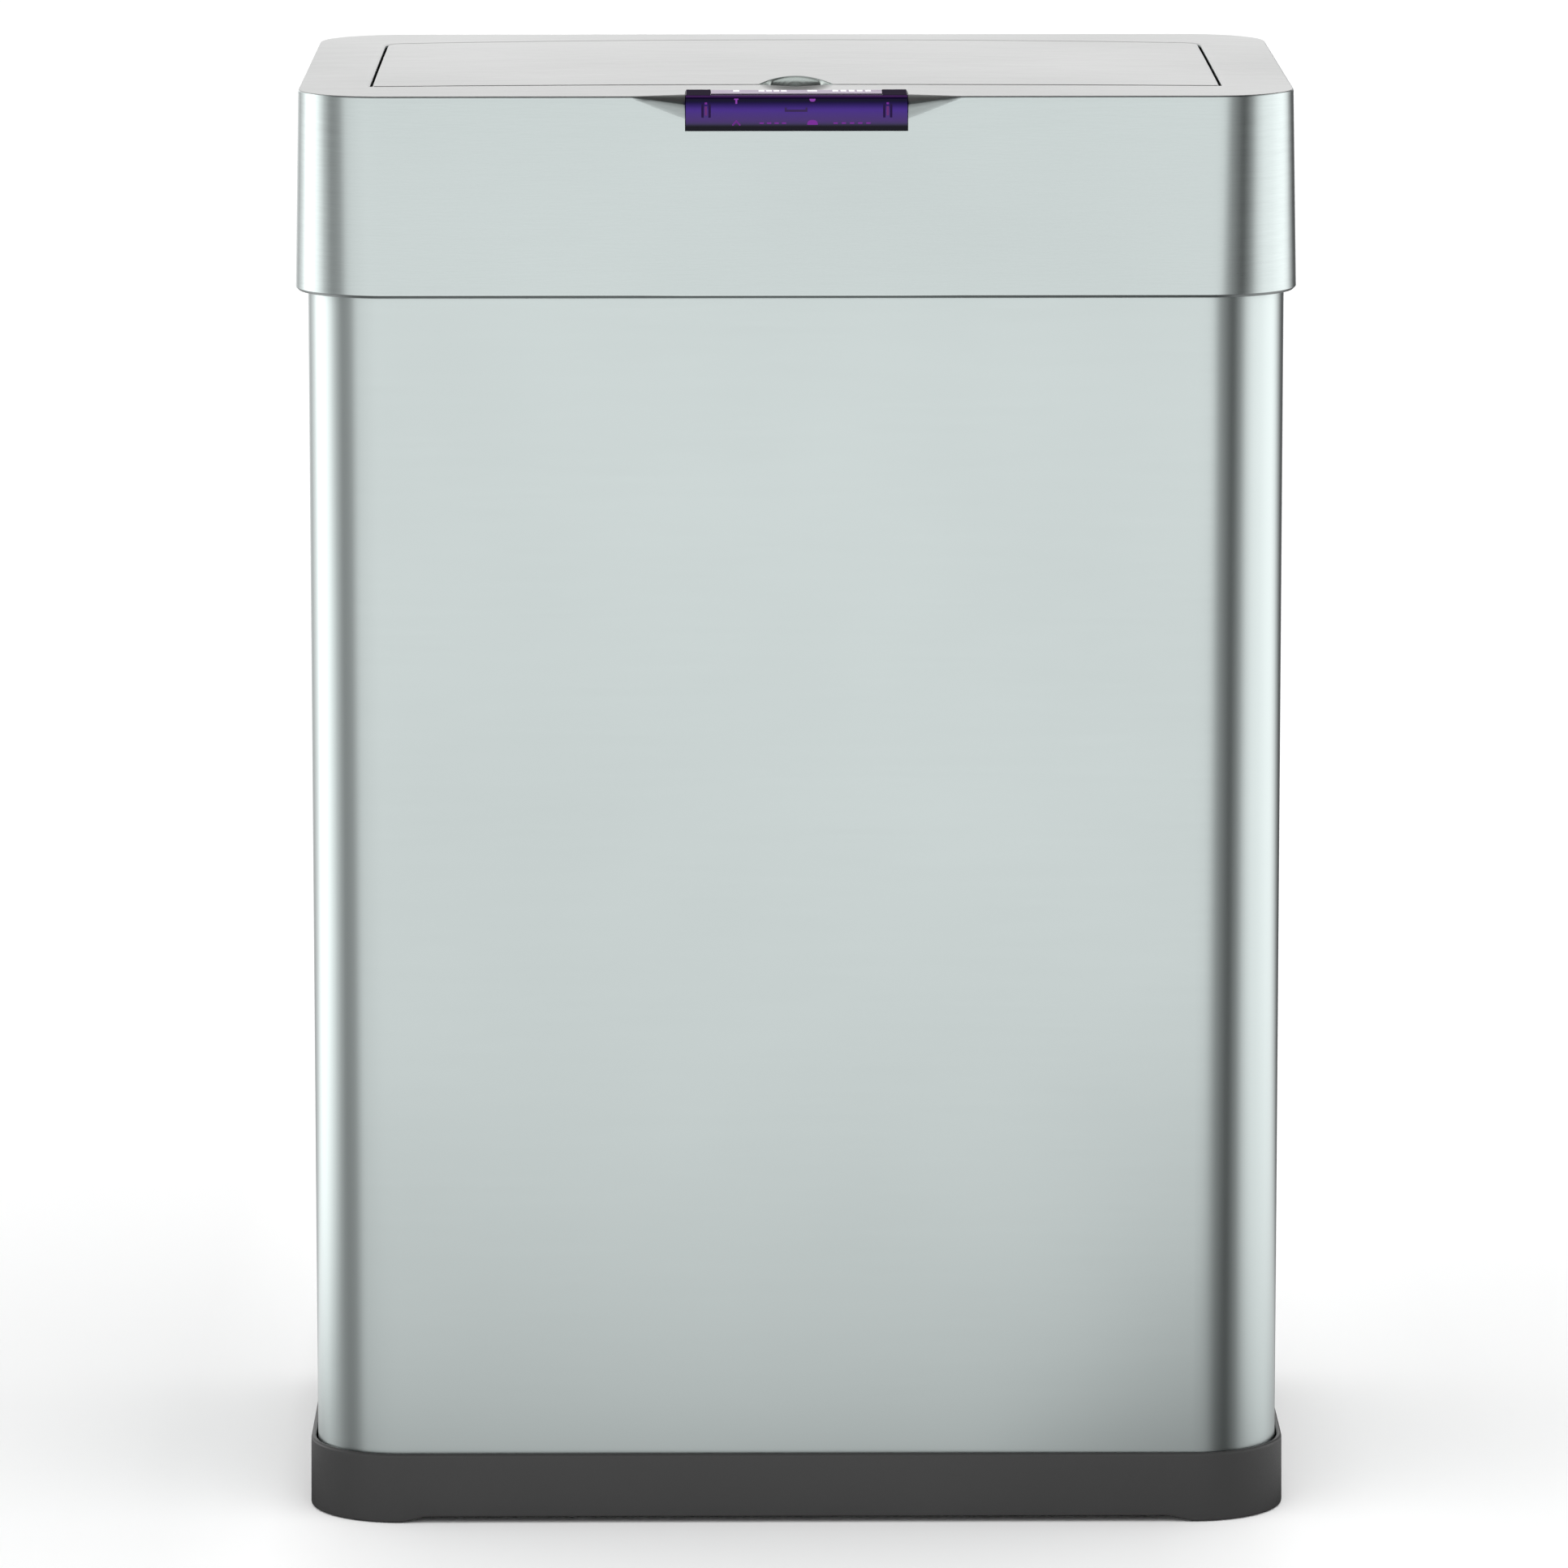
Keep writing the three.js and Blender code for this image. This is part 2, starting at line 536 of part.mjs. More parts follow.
const GEARBOX = { x0: 191.5, x1: 205, y0: 38, y1: 86, z0: 556, z1: 592 };
const PINION_PLACE = [0, AXIS.y + pinionAt.x, AXIS.z + pinionAt.y];
const PINION_SHAFT = { r: 2.5, x0: 187, x1: 197 };

function drivePinion() {
  const step = 360 / GEAR.pinionTeeth;
  const points = [];
  const first = GEAR.meshDeg - 180 + step / 2;
  for (let k = 0; k < GEAR.pinionTeeth; k++) {
    points.push(...tooth(PINION_R, GEAR.pinionTeeth, first + k * step));
  }
  const shaft = rodX(PINION_SHAFT.r, PINION_SHAFT.x0, PINION_SHAFT.x1, 0, 0);
  return prismX(new THREE.Shape(points), GEAR.x0 - 0.5, GEAR.x1 + 0.5).add(shaft);
}
add('drive_pinion', drivePinion(), nylon, PINION_PLACE);

const EAR = { out: 10, thick: 4, holeR: 1.9, screwX: 197 };

function gearboxCase() {
  const { x0, x1, y0, y1, z0, z1 } = GEARBOX;
  const [, shaftY, shaftZ] = PINION_PLACE;
  const screwHole = (y) => rodZ(EAR.holeR, z0 - 1, z0 + EAR.thick + 1, EAR.screwX, y, 16);
  return box(x0, x1, y0, y1, z0, z1)
    .subtract(rodX(PINION_SHAFT.r + GAP, x0 - 1, PINION_SHAFT.x1 + 1, shaftY, shaftZ))
    .add(box(x0, x1 - 3, y0 - EAR.out, y0 + 1, z0, z0 + EAR.thick))
    .add(box(x0, x1 - 3, y1 - 1, y1 + EAR.out, z0, z0 + EAR.thick))
    .subtract(screwHole(y0 - EAR.out / 2))
    .subtract(screwHole(y1 + EAR.out / 2));
}
add('gearbox_case', gearboxCase(), greyPlastic);

const MOTOR = { r: 10.5, length: 38, bossR: 4, boss: 4, x: 194.5, z: 573 };

function driveMotor() {
  const front = GEARBOX.y0 - 0.5;
  const rear = front - MOTOR.length;
  return rodY(MOTOR.r, rear, front, 0, 0).add(rodY(MOTOR.bossR, rear - MOTOR.boss, rear + 1, 0, 0, 16));
}
add('drive_motor', driveMotor(), zincSteel, [MOTOR.x, 0, MOTOR.z]);

function screwZ({ r, headR, length, head }) {
  return rodZ(r, 0, length, 0, 0, 12).add(rodZ(headR, length - 0.01, length + head, 0, 0, 12));
}
for (const [name, y] of [['front', GEARBOX.y0 - EAR.out / 2], ['rear', GEARBOX.y1 + EAR.out / 2]]) {
  const place = [EAR.screwX, y, CHASSIS.z0 + CHASSIS.floor + GAP];
  add(`gearbox_screw_${name}`, screwZ({ r: 1.5, headR: 3, length: 5.6, head: 1.8 }), zincSteel, place);
}

// ---------------------------------------------------------------- batteries
const CELL_TIP = { r: 5, height: 2.2 };
const SPRING = { fromR: 4, toR: 7.5, length: 2.6, turns: 2.5, wireR: 0.4, gap: 0.9 };
const CONTACT = { thick: 0.6, halfY: 13, halfZ: 15, behind: 1.2 };

function cell() {
  return rodX(CELL.r, 0, CELL.length - CELL_TIP.height, 0, 0).add(rodX(CELL_TIP.r, 0, CELL.length, 0, 0, 16));
}

class ConeHelix extends THREE.Curve {
  constructor(fromR, toR, length, turns) {
    super();
    Object.assign(this, { fromR, toR, length, turns });
  }

  getPoint(t, target = new THREE.Vector3()) {
    const angle = 2 * Math.PI * this.turns * t;
    const r = THREE.MathUtils.lerp(this.fromR, this.toR, t);
    return target.set(this.length * t, r * Math.cos(angle), r * Math.sin(angle));
  }
}

function sweep(path, radius, steps, sides) {
  const round = new THREE.Shape();
  for (let i = 0; i < sides; i++) {
    const point = polar(radius, (360 * i) / sides);
    if (i === 0) round.moveTo(point.x, point.y);
    else round.lineTo(point.x, point.y);
  }
  round.closePath();
  return solid(new THREE.ExtrudeGeometry(round, { steps, extrudePath: path, bevelEnabled: false }));
}

for (const [name, side] of [['left', -1], ['right', 1]]) {
  const flip = (manifold) => (side < 0 ? mirrored(manifold) : manifold);
  for (const [place, start] of [['inner', CELL.firstX], ['outer', CELL.firstX + CELL.step]]) {
    add(`d_cell_${name}_${place}`, flip(cell()), cellCan, [side * start, CELL.y, CELL.z]);
  }
  const end = CELL.firstX + CELL.step + CELL.length + SPRING.gap;
  const { fromR, toR, length, turns, wireR } = SPRING;
  const spring = sweep(new ConeHelix(fromR, toR, length, turns), wireR, 28, 6);
  add(`battery_spring_${name}`, flip(spring), springSteel, [side * end, CELL.y, CELL.z]);
  const { thick, halfY, halfZ, behind } = CONTACT;
  const contact = box(0, thick, -halfY, halfY, -halfZ, halfZ);
  add(`battery_contact_${name}`, flip(contact), springSteel, [side * (CELL.firstX - behind), CELL.y, CELL.z]);
  let cover = box(COVER.x0, COVER.x1, COVER.y0, COVER.y1, 0, COVER.thick);
  for (const start of [COVER.x0 + 4, COVER.x0 + 9]) {
    cover = cover.add(box(start, start + 3, COVER.y0 + 6, COVER.y1 - 6, -COVER.ribDown, 0.1));
  }
  add(`battery_cover_${name}`, flip(cover), blackPlastic, [0, 0, CHASSIS.z0 + 0.1]);
}

// ---------------------------------------------------------------- sensor bar
function sensorWindow() {
  const { halfX, front, back, z0, z1, wall, chamfer } = BAR;
  const profile = new THREE.Shape([
    new THREE.Vector2(front, z0), new THREE.Vector2(back, z0), new THREE.Vector2(back, z1),
    new THREE.Vector2(front + chamfer, z1), new THREE.Vector2(front, z1 - chamfer),
  ]);
  const hollow = new THREE.Shape([
    new THREE.Vector2(front + wall, z0 - 1), new THREE.Vector2(back + 5, z0 - 1),
    new THREE.Vector2(back + 5, z1 - wall), new THREE.Vector2(front + wall + chamfer, z1 - wall),
    new THREE.Vector2(front + wall, z1 - wall - chamfer),
  ]);
  return prismX(profile, -halfX, halfX).subtract(prismX(hollow, -halfX + wall, halfX - wall));
}
add('sensor_window', sensorWindow(), violetWindow);

function touchStrip() {
  const { halfX, front, back, thick } = STRIP;
  return box(-halfX, halfX, front, back, 0, thick);
}
add('touch_strip', touchStrip(), glossStrip, [0, 0, BAR.z1 + GAP]);

// Moulding inside the bar: floor, back wall, a post at each end for its screw, and a light guard.
const SENSOR_POST = { x: 39.5, z: 600 };
const HOUSING = { front: -143, back: -118.5, floor: 1.8, wallFront: -128, wallBack: -126, top: 606 };
const POST = { front: -136, r: 3.2, boreR: 1.8 };
const GUARD = { x: 7.5, thick: 1.5, front: -135, top: 598 };
const BOARD = { halfX: 34, y0: -130, y1: -128.5, z0: 595.5, z1: 605.5 };
const LENS = { r: 2.5, reach: 5.1, x: 14, z: 600.5 };
const LIGHT = { half: 1.6, reach: 2, z0: 601.6, z1: 604.6, openX: -24, closeX: 8 };
const BOARD_FACE = BOARD.y0 - GAP - 0.1;
const SENSOR_SCREW = { r: 1.4, headR: 2.8, head: 1.9, tip: -129.6 };

function sensorHousing() {
  const x = BAR.halfX - BAR.wall - 0.5;
  const low = BAR_SHELF.z1 + 2 * GAP;
  const { front, back, floor, wallFront, wallBack, top } = HOUSING;
  let housing = box(-x, x, front, back, low, low + floor).add(box(-x, x, wallFront, wallBack, low, top));
  for (const side of [-1, 1]) {
    const post = rodY(POST.r, POST.front, wallFront + 1, side * SENSOR_POST.x, SENSOR_POST.z, 16);
    const bore = rodY(POST.boreR, POST.front - 1, wallFront - 1, side * SENSOR_POST.x, SENSOR_POST.z, 12);
    housing = housing.add(post.subtract(bore));
    const edges = [side * GUARD.x, side * (GUARD.x + GUARD.thick)].sort((a, b) => a - b);
    housing = housing.add(box(...edges, GUARD.front, BOARD_FACE, low, GUARD.top));
  }
  return housing;
}
add('sensor_housing', sensorHousing(), blackPlastic);

add('sensor_board', box(-BOARD.halfX, BOARD.halfX, BOARD.y0, BOARD.y1, BOARD.z0, BOARD.z1), circuitBoard);
for (const [name, x] of [['ir_emitter', -LENS.x], ['ir_receiver', LENS.x]]) {
  add(name, rodY(LENS.r, BOARD_FACE - LENS.reach, BOARD_FACE, x, LENS.z, 16), violetWindow);
}
for (const [name, x] of [['open_light', LIGHT.openX], ['close_light', LIGHT.closeX]]) {
  const { half, reach, z0, z1 } = LIGHT;
  add(name, box(x - half, x + half, BOARD_FACE - reach, BOARD_FACE, z0, z1), indicator);
}
for (const [name, side] of [['left', -1], ['right', 1]]) {
  const { r, headR, head, tip } = SENSOR_SCREW;
  const under = POST.front - GAP;
  const screw = rodY(r, under - 0.1, tip, 0, 0, 12).add(rodY(headR, under - head, under, 0, 0, 12));
  add(`sensor_screw_${name}`, screw, zincSteel, [side * SENSOR_POST.x, 0, SENSOR_POST.z]);
}

// ---------------------------------------------------------------- rear service panel
const ROCKER = { x: -18, z: 576, halfX: 9, halfZ: 6, restDeg: 7 };
const ROCKER_FACE = { depth: 4, tailZ: 2.6, proud: 0.6, ridge: 0.9 };
const JACK = { x: 18, z: 576, r: 4, y0: 132, face: 145 };
const JACK_BORE = { r: 2.7, floorY: 136, pinR: 0.9, pinY0: 131.5, pinY1: 143 };
const REAR_SCREW = { x: 39, z: 576, r: 1.5, headR: 3, head: 1.1, tip: 137 };
const REAR_SCREW_HOLE = { r: 1.8, sinkR: 3.3, seat: 144.2 };
const THROUGH = [140, 150]; // past both faces of the panel, for cutters

function rearPanel() {
  const { halfX, z0, z1, y0, y1 } = REAR;
  let panel = box(-halfX, halfX, y0, y1, z0, z1);
  const rx = ROCKER.halfX + 0.5;
  const rz = ROCKER.halfZ + 0.8;
  panel = panel.subtract(box(ROCKER.x - rx, ROCKER.x + rx, ...THROUGH, ROCKER.z - rz, ROCKER.z + rz));
  panel = panel.subtract(rodY(JACK.r + GAP, ...THROUGH, JACK.x, JACK.z));
  const { x, z } = REAR_SCREW;
  const { r, sinkR, seat } = REAR_SCREW_HOLE;
  for (const side of [-1, 1]) {
    panel = panel.subtract(rodY(r, ...THROUGH, side * x, z, 12));
    panel = panel.subtract(rodY(sinkR, seat, THROUGH[1], side * x, z, 12));
  }
  return panel;
}
add('rear_panel', rearPanel(), blackPlastic);

function powerRocker() {
  const { halfX, halfZ, restDeg } = ROCKER;
  const { depth, tailZ, proud, ridge } = ROCKER_FACE;
  const face = new THREE.Shape([
    new THREE.Vector2(-depth, -tailZ), new THREE.Vector2(proud, -halfZ), new THREE.Vector2(ridge, 0),
    new THREE.Vector2(proud, halfZ), new THREE.Vector2(-depth, tailZ),
  ]);
  return prismX(face, -halfX, halfX).rotate([restDeg, 0, 0]);
}
add('power_rocker', powerRocker(), basePlastic, [ROCKER.x, REAR.y1 - 0.2, ROCKER.z]);

function dcJack() {
  const { r, y0, face } = JACK;
  const { r: boreR, floorY, pinR, pinY0, pinY1 } = JACK_BORE;
  const barrel = rodY(r, y0, face, 0, 0).subtract(rodY(boreR, floorY, face + 1, 0, 0, 16));
  return barrel.add(rodY(pinR, pinY0, pinY1, 0, 0, 12));
}
add('dc_jack', dcJack(), blackPlastic, [JACK.x, 0, JACK.z]);

for (const [name, side] of [['left', -1], ['right', 1]]) {
  const { x, z, r, headR, head, tip } = REAR_SCREW;
  const under = REAR_SCREW_HOLE.seat + GAP;
  const screw = rodY(r, tip, under, 0, 0, 12).add(rodY(headR, under, under + head, 0, 0, 12));
  add(`rear_screw_${name}`, screw, zincSteel, [side * x, 0, z]);
}

const MAIN_BOARD = { x0: -130, x1: -52, y0: 126, y1: 127.6, z0: 557, z1: 597 };
const { x0, x1, y0, y1, z0, z1 } = MAIN_BOARD;
add('main_board', box(x0, x1, y0, y1, z0, z1), circuitBoard);

// Cable from the sensor board to the main board, down the left side of the flap bay.
const CABLE_R = 1.4;

function sensorCable() {
  const route = new THREE.CatmullRomCurve3([
    [-56, -108, 596], [-85, -103.5, 597], [-130, -103, 597], [-172, -104, 596], [-184, -104, 595],
    [-189, -96, 593], [-189, -60, 589], [-189, 20, 586], [-189, 80, 585], [-187, 112, 584], [-178, 121, 583],
    [-160, 123, 583], [-131.5, 123, 582],
  ].map((p) => new THREE.Vector3(...p)), false, 'centripetal');
  return sweep(route, CABLE_R, 30, 8);
}
add('sensor_cable', sensorCable(), cableSkin);

export default bin;
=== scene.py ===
"""Looks of the sensor-lid waste bin: brushed steel shells, plastic base, sensor bar, studio light."""
import math

import bmesh
import bpy
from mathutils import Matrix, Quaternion, Vector


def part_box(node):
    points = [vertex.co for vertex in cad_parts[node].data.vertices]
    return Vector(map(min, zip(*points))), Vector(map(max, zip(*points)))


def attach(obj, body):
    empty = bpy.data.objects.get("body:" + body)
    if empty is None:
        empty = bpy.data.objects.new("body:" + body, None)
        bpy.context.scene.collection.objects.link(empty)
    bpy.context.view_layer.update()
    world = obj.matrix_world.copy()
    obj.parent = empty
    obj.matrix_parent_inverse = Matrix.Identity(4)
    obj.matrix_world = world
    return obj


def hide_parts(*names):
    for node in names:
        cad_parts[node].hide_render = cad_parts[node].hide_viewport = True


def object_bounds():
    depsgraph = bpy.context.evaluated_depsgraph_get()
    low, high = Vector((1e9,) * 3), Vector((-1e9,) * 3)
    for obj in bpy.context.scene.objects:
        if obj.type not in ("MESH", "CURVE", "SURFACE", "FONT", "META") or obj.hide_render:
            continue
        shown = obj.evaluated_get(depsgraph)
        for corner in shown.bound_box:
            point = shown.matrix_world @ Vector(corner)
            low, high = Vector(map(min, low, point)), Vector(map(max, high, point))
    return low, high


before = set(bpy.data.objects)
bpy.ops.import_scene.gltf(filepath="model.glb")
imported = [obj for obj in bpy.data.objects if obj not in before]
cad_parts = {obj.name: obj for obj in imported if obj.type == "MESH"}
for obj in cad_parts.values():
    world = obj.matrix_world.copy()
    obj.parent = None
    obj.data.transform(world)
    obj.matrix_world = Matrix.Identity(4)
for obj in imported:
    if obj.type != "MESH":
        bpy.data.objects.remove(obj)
cad_low, cad_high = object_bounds()
MM = 0.001


def mm_box(node):
    """A CAD node's lowest and highest corners in millimetres."""
    low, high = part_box(node)
    return [value / MM for value in low], [value / MM for value in high]


# ------------------------------------------------------------------ sizes, from the frame
SKIRT_LOW, SKIRT_HIGH = mm_box("rim_skirt")
FLAP_LOW, FLAP_HIGH = mm_box("flap_panel")
BODY_LOW, BODY_HIGH = mm_box("body_shell")
TRAY_LOW, TRAY_HIGH = mm_box("base_tray")
BAR_LOW, BAR_HIGH = mm_box("sensor_window")
STRIP_LOW, STRIP_HIGH = mm_box("touch_strip")
COLLAR_LOW, COLLAR_HIGH = mm_box("body_collar")
RING_LOW, RING_HIGH = mm_box("bag_ring")
REAR_LOW, REAR_HIGH = mm_box("rear_panel")

# Outlines, each with its width, depth and corner radius.
SKIRT_FOOT = {"w": SKIRT_HIGH[0] * 2, "d": SKIRT_HIGH[1] * 2, "r": 38.9, "z": SKIRT_LOW[2]}
SKIRT_TOP = {"w": 416.5, "d": 289.8, "r": 35.0, "z": SKIRT_HIGH[2]}
BODY = {"w": BODY_HIGH[0] * 2, "d": BODY_HIGH[1] * 2, "r": 36.2}
BASE_FOOT = {"w": TRAY_HIGH[0] * 2, "d": TRAY_HIGH[1] * 2, "r": 39.3}
BASE_TOP = {"w": BASE_FOOT["w"] - 0.5, "d": BASE_FOOT["d"] - 0.3, "r": 39.0}
# Height of the lid's edge, and the lid's crown: its rise, which runs out at x and y.
EDGE_Z = SKIRT_HIGH[2] + 1.2
DOME = {"rise": 1.87, "x": 208.25, "y": 144.9}
# The seam round the flap, and the opening that the flap fills, with the folds and ridge of its sheet.
SEAM = 1.2
FLAP = {"x": FLAP_HIGH[0] + SEAM, "front": FLAP_LOW[1] - SEAM, "back": FLAP_HIGH[1] + SEAM, "bow": 12.0,
        "front_r": 1.6, "back_r": 11.0, "skirt": 5.0, "fold": 0.5, "spine_x": 95.0, "spine_y": 4.0}
# Thumb scoop: half width, length, fullness of its outline, then its depths: at the rim, down its slope and
# in the roll at its front. The lip is the shallow dish before the flap.
SCOOP = {"x": 15.6, "length": 32.5, "bulge": 0.95, "rim": 0.35, "slope": 0.03, "roll": 3.6,
         "roll_from": 18.0, "roll_run": 7.0, "lip_depth": 0.8, "lip_run": 30.0}
# Cove beside the sensor bar: where it starts, its height and depth, and the flat below it.
NOTCH = {"x": 68.5, "low": 598.5, "drop": 9.3, "reach": 6.8, "facet": 0.58, "lean_deg": 13.0}
# Ledge in the collar, and the arches between the tray's corners.
LEDGE = {"z": 546.0, "inner": 9.0, "thick": 2.0}
ARCH = {"rise": 2.4, "x": 168.0, "y": 104.0, "run": 10.0}
# Folded hem of the skirt, the tray's wall and floor, and the fine steps of the plate and the sensor bar.
HEM = {"fold": 1.15, "drop": 0.6}
TRAY = {"wall": 2.2, "floor_low": 5.0, "floor_high": 8.0}
INNER_EDGE_DROP = 0.38
WINDOW = {"round": 2.0, "drop": 0.15}
STRIP_DROP = 0.4
CAP = {"gap": 0.05, "side": 0.1, "front": 1.2, "above": 0.5}
# Sheet thicknesses, the plate's edge round, its lap over the skirt, and the play round what stands in a hole.
STEEL = 0.6
PLATE = 0.8
EDGE_R = 0.9
EDGE_STEPS = 12
LAP = 0.03
SLOT = 0.3
# Steps in each rounded corner and round the scoop, and how far cutters and the floor reach.
CORNER = 24
SCOOP_STEPS = 60
AHEAD, BEHIND, ABOVE, UNDER_BAR = -160, 160, 640, 585
FLOOR_HALF = 16000.0
# Stations along the front, closer together beside the sensor bar, and shares along a side.
RIGHT_X = [2, 4, 6, 8, 10, 12, 14, 16, 20, 26, 36, 46, 48, 50, 52, 54, 56, 58, 60, 62, 64, 66, 67.5, 68.5,
           70, 80, 110, 140, 158, 163, 168]
FRONT_X = [-x for x in reversed(RIGHT_X)] + [0] + RIGHT_X
FRONT_SIDE, RIGHT_SIDE, BACK_SIDE, LEFT_SIDE = range(4)
SIDE_T = [0, 0.025, 0.05, 0.1, 0.2, 0.3, 0.4, 0.5, 0.6, 0.7, 0.8, 0.9, 0.95, 0.975, 1]


# ------------------------------------------------------------------ mesh helpers
def mix(a, b, t):
    return a + (b - a) * t


def mesh_object(name, verts, faces, material, smooth=True, sharp_deg=32):
    mesh = bpy.data.meshes.new(name)
    mesh.from_pydata([tuple(c * MM for c in v) for v in verts], [], faces)
    work = bmesh.new()
    work.from_mesh(mesh)
    bmesh.ops.remove_doubles(work, verts=work.verts, dist=0.004 * MM)
    bmesh.ops.dissolve_degenerate(work, edges=work.edges, dist=0.002 * MM)
    bmesh.ops.recalc_face_normals(work, faces=work.faces)
    work.to_mesh(mesh)
    work.free()
    obj = bpy.data.objects.new(name, mesh)
    bpy.context.scene.collection.objects.link(obj)
    if smooth:
        soften(obj, sharp_deg)
    if material:
        mesh.materials.append(material)
    return obj


def soften(obj, sharp_deg=32):
    """Smooth shading that keeps real edges and flat faces crisp."""
    obj.data.polygons.foreach_set("use_smooth", [True] * len(obj.data.polygons))
    obj.data.set_sharp_from_angle(angle=math.radians(sharp_deg))
    if not any(m.type == "WEIGHTED_NORMAL" for m in obj.modifiers):
        weighted = obj.modifiers.new("even_shading", "WEIGHTED_NORMAL")
        weighted.keep_sharp = True


def cut(obj, cutters):
    """Applies exact booleans and drops the cutters."""
    for cutter in cutters:
        modifier = obj.modifiers.new("cut", "BOOLEAN")
        modifier.operation = "DIFFERENCE"
        modifier.solver = "EXACT"
        modifier.object = cutter
        obj.modifiers.move(len(obj.modifiers) - 1, 0)
        weighted = [m for m in obj.modifiers if m.type == "WEIGHTED_NORMAL"]
        for m in weighted:
            m.show_viewport = False
        bpy.context.view_layer.update()
        graph = bpy.context.evaluated_depsgraph_get()
        result = bpy.data.meshes.new_from_object(obj.evaluated_get(graph))
        for m in weighted:
            m.show_viewport = True
        obj.modifiers.remove(obj.modifiers[0])
        obj.data = result
        bpy.data.objects.remove(cutter)
    soften(obj)
    return obj


def box_verts(x0, x1, y0, y1, z0, z1):
    verts = [(x, y, z) for z in (z0, z1) for y in (y0, y1) for x in (x0, x1)]
    faces = [(0, 2, 3, 1), (4, 5, 7, 6), (0, 1, 5, 4), (2, 6, 7, 3), (0, 4, 6, 2), (1, 3, 7, 5)]
    return verts, faces


def box_cutter(*sides):
    verts, faces = box_verts(*sides)
    return mesh_object("cutter", verts, faces, None, smooth=False)


def rounded_rect(w, d, r):
    """Counter-clockwise outline from the left end of the front side, with outward normals."""
    points = []
    x, y = w / 2 - r, d / 2 - r
    for side in (FRONT_SIDE, RIGHT_SIDE, BACK_SIDE, LEFT_SIDE):
        if side == FRONT_SIDE:
            line = [(-x, -d / 2)] + [(s, -d / 2) for s in FRONT_X] + [(x, -d / 2)]
            normal = (0, -1)
        elif side == BACK_SIDE:
            line = [(x, d / 2)] + [(-s, d / 2) for s in FRONT_X] + [(-x, d / 2)]
            normal = (0, 1)
        else:
            sign = 1 if side == RIGHT_SIDE else -1
            line = [(sign * w / 2, sign * mix(-y, y, t)) for t in SIDE_T]
            normal = (sign, 0)
        points += [(*p, *normal) for p in line]
        start = -90 + 90 * side
        cx = x if side in (FRONT_SIDE, RIGHT_SIDE) else -x
        cy = -y if side in (FRONT_SIDE, LEFT_SIDE) else y
        for i in range(1, CORNER):
            a = math.radians(start + 90 * i / CORNER)
            points.append((cx + r * math.cos(a), cy + r * math.sin(a), math.cos(a), math.sin(a)))
    return points


def skin(rings, closed):
    """Quads between rings of equal length; closed joins the last ring to the first."""
    count = len(rings[0])
    verts = [p for ring in rings for p in ring]
    faces = []
    bands = len(rings) if closed else len(rings) - 1
    for k in range(bands):
        low, high = k * count, ((k + 1) % len(rings)) * count
        for i in range(count):
            j = (i + 1) % count
            faces.append((low + i, low + j, high + j, high + i))
    return verts, faces


def capped(rings):
    verts, faces = skin(rings, False)
    count = len(rings[0])
    faces.append(tuple(reversed(range(count))))
    faces.append(tuple(range(len(verts) - count, len(verts))))
    return verts, faces


def smoothstep(t):
    t = min(1.0, max(0.0, t))
    return t * t * (3 - 2 * t)


def put(piece, body, slot_name, *nodes):
    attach(piece, body)
    if nodes:
        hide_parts(*nodes)
    return piece


# ------------------------------------------------------------------ shader helpers
class Graph:
    """A node tree with short calls for the sums that materials and the studio light use."""

    def __init__(self, tree):
        self.tree = tree

    def node(self, kind, **values):
        made = self.tree.nodes.new(kind)
        for key, value in values.items():
            setattr(made, key, value)
        return made

    def link(self, source, target):
        self.tree.links.new(source, target)

    def feed(self, made, slots, values):
        """Sets or links each value on the node's numbered input, and gives the node back."""
        for slot, value in zip(slots, values):
            if isinstance(value, (int, float)):
                made.inputs[slot].default_value = value
            else:
                self.link(value, made.inputs[slot])
        return made

    def math(self, operation, *values):
        made = self.node("ShaderNodeMath", operation=operation)
        return self.feed(made, range(len(values)), values).outputs[0]

    def pick(self, factor, first, second):
        made = self.node("ShaderNodeMix", data_type="FLOAT")
        return self.feed(made, (0, 2, 3), (factor, first, second)).outputs[0]

    def remap(self, value, low, high, out_low, out_high):
        made = self.node("ShaderNodeMapRange")
        return self.feed(made, range(5), (value, low, high, out_low, out_high)).outputs[0]

    def colors(self, share, stops):
        """Colour by share, from 0 to 1, through (share, colour) stops."""
        made = self.node("ShaderNodeValToRGB")
        elements = made.color_ramp.elements
        while len(elements) < len(stops):
            elements.new(0.5)
        for element, (at, color) in zip(elements, stops):
            element.position = at
            element.color = (*color, 1)
        self.link(share, made.inputs[0])
        return made.outputs[0]

    def ramp(self, value, stops):
        """Brightness by value, through (value, brightness) stops."""
        low, high = stops[0][0], stops[-1][0]
        top = max(level for _, level in stops)
        shares = [((at - low) / (high - low), (level / top,) * 3) for at, level in stops]
        return self.math("MULTIPLY", self.colors(self.remap(value, low, high, 0.0, 1.0), shares), top)

    def place(self):
        """The object's own coordinates, in metres."""
        return self.node("ShaderNodeTexCoord").outputs["Object"]

    def parts(self, vector):
        made = self.node("ShaderNodeSeparateXYZ")
        self.link(vector, made.inputs[0])
        return made.outputs

    def bearing(self, x, y):
        """Degrees round the object from straight ahead of its front, positive to its right."""
        return self.math("MULTIPLY", self.math("ARCTAN2", x, self.math("MULTIPLY", y, -1.0)), 180 / math.pi)


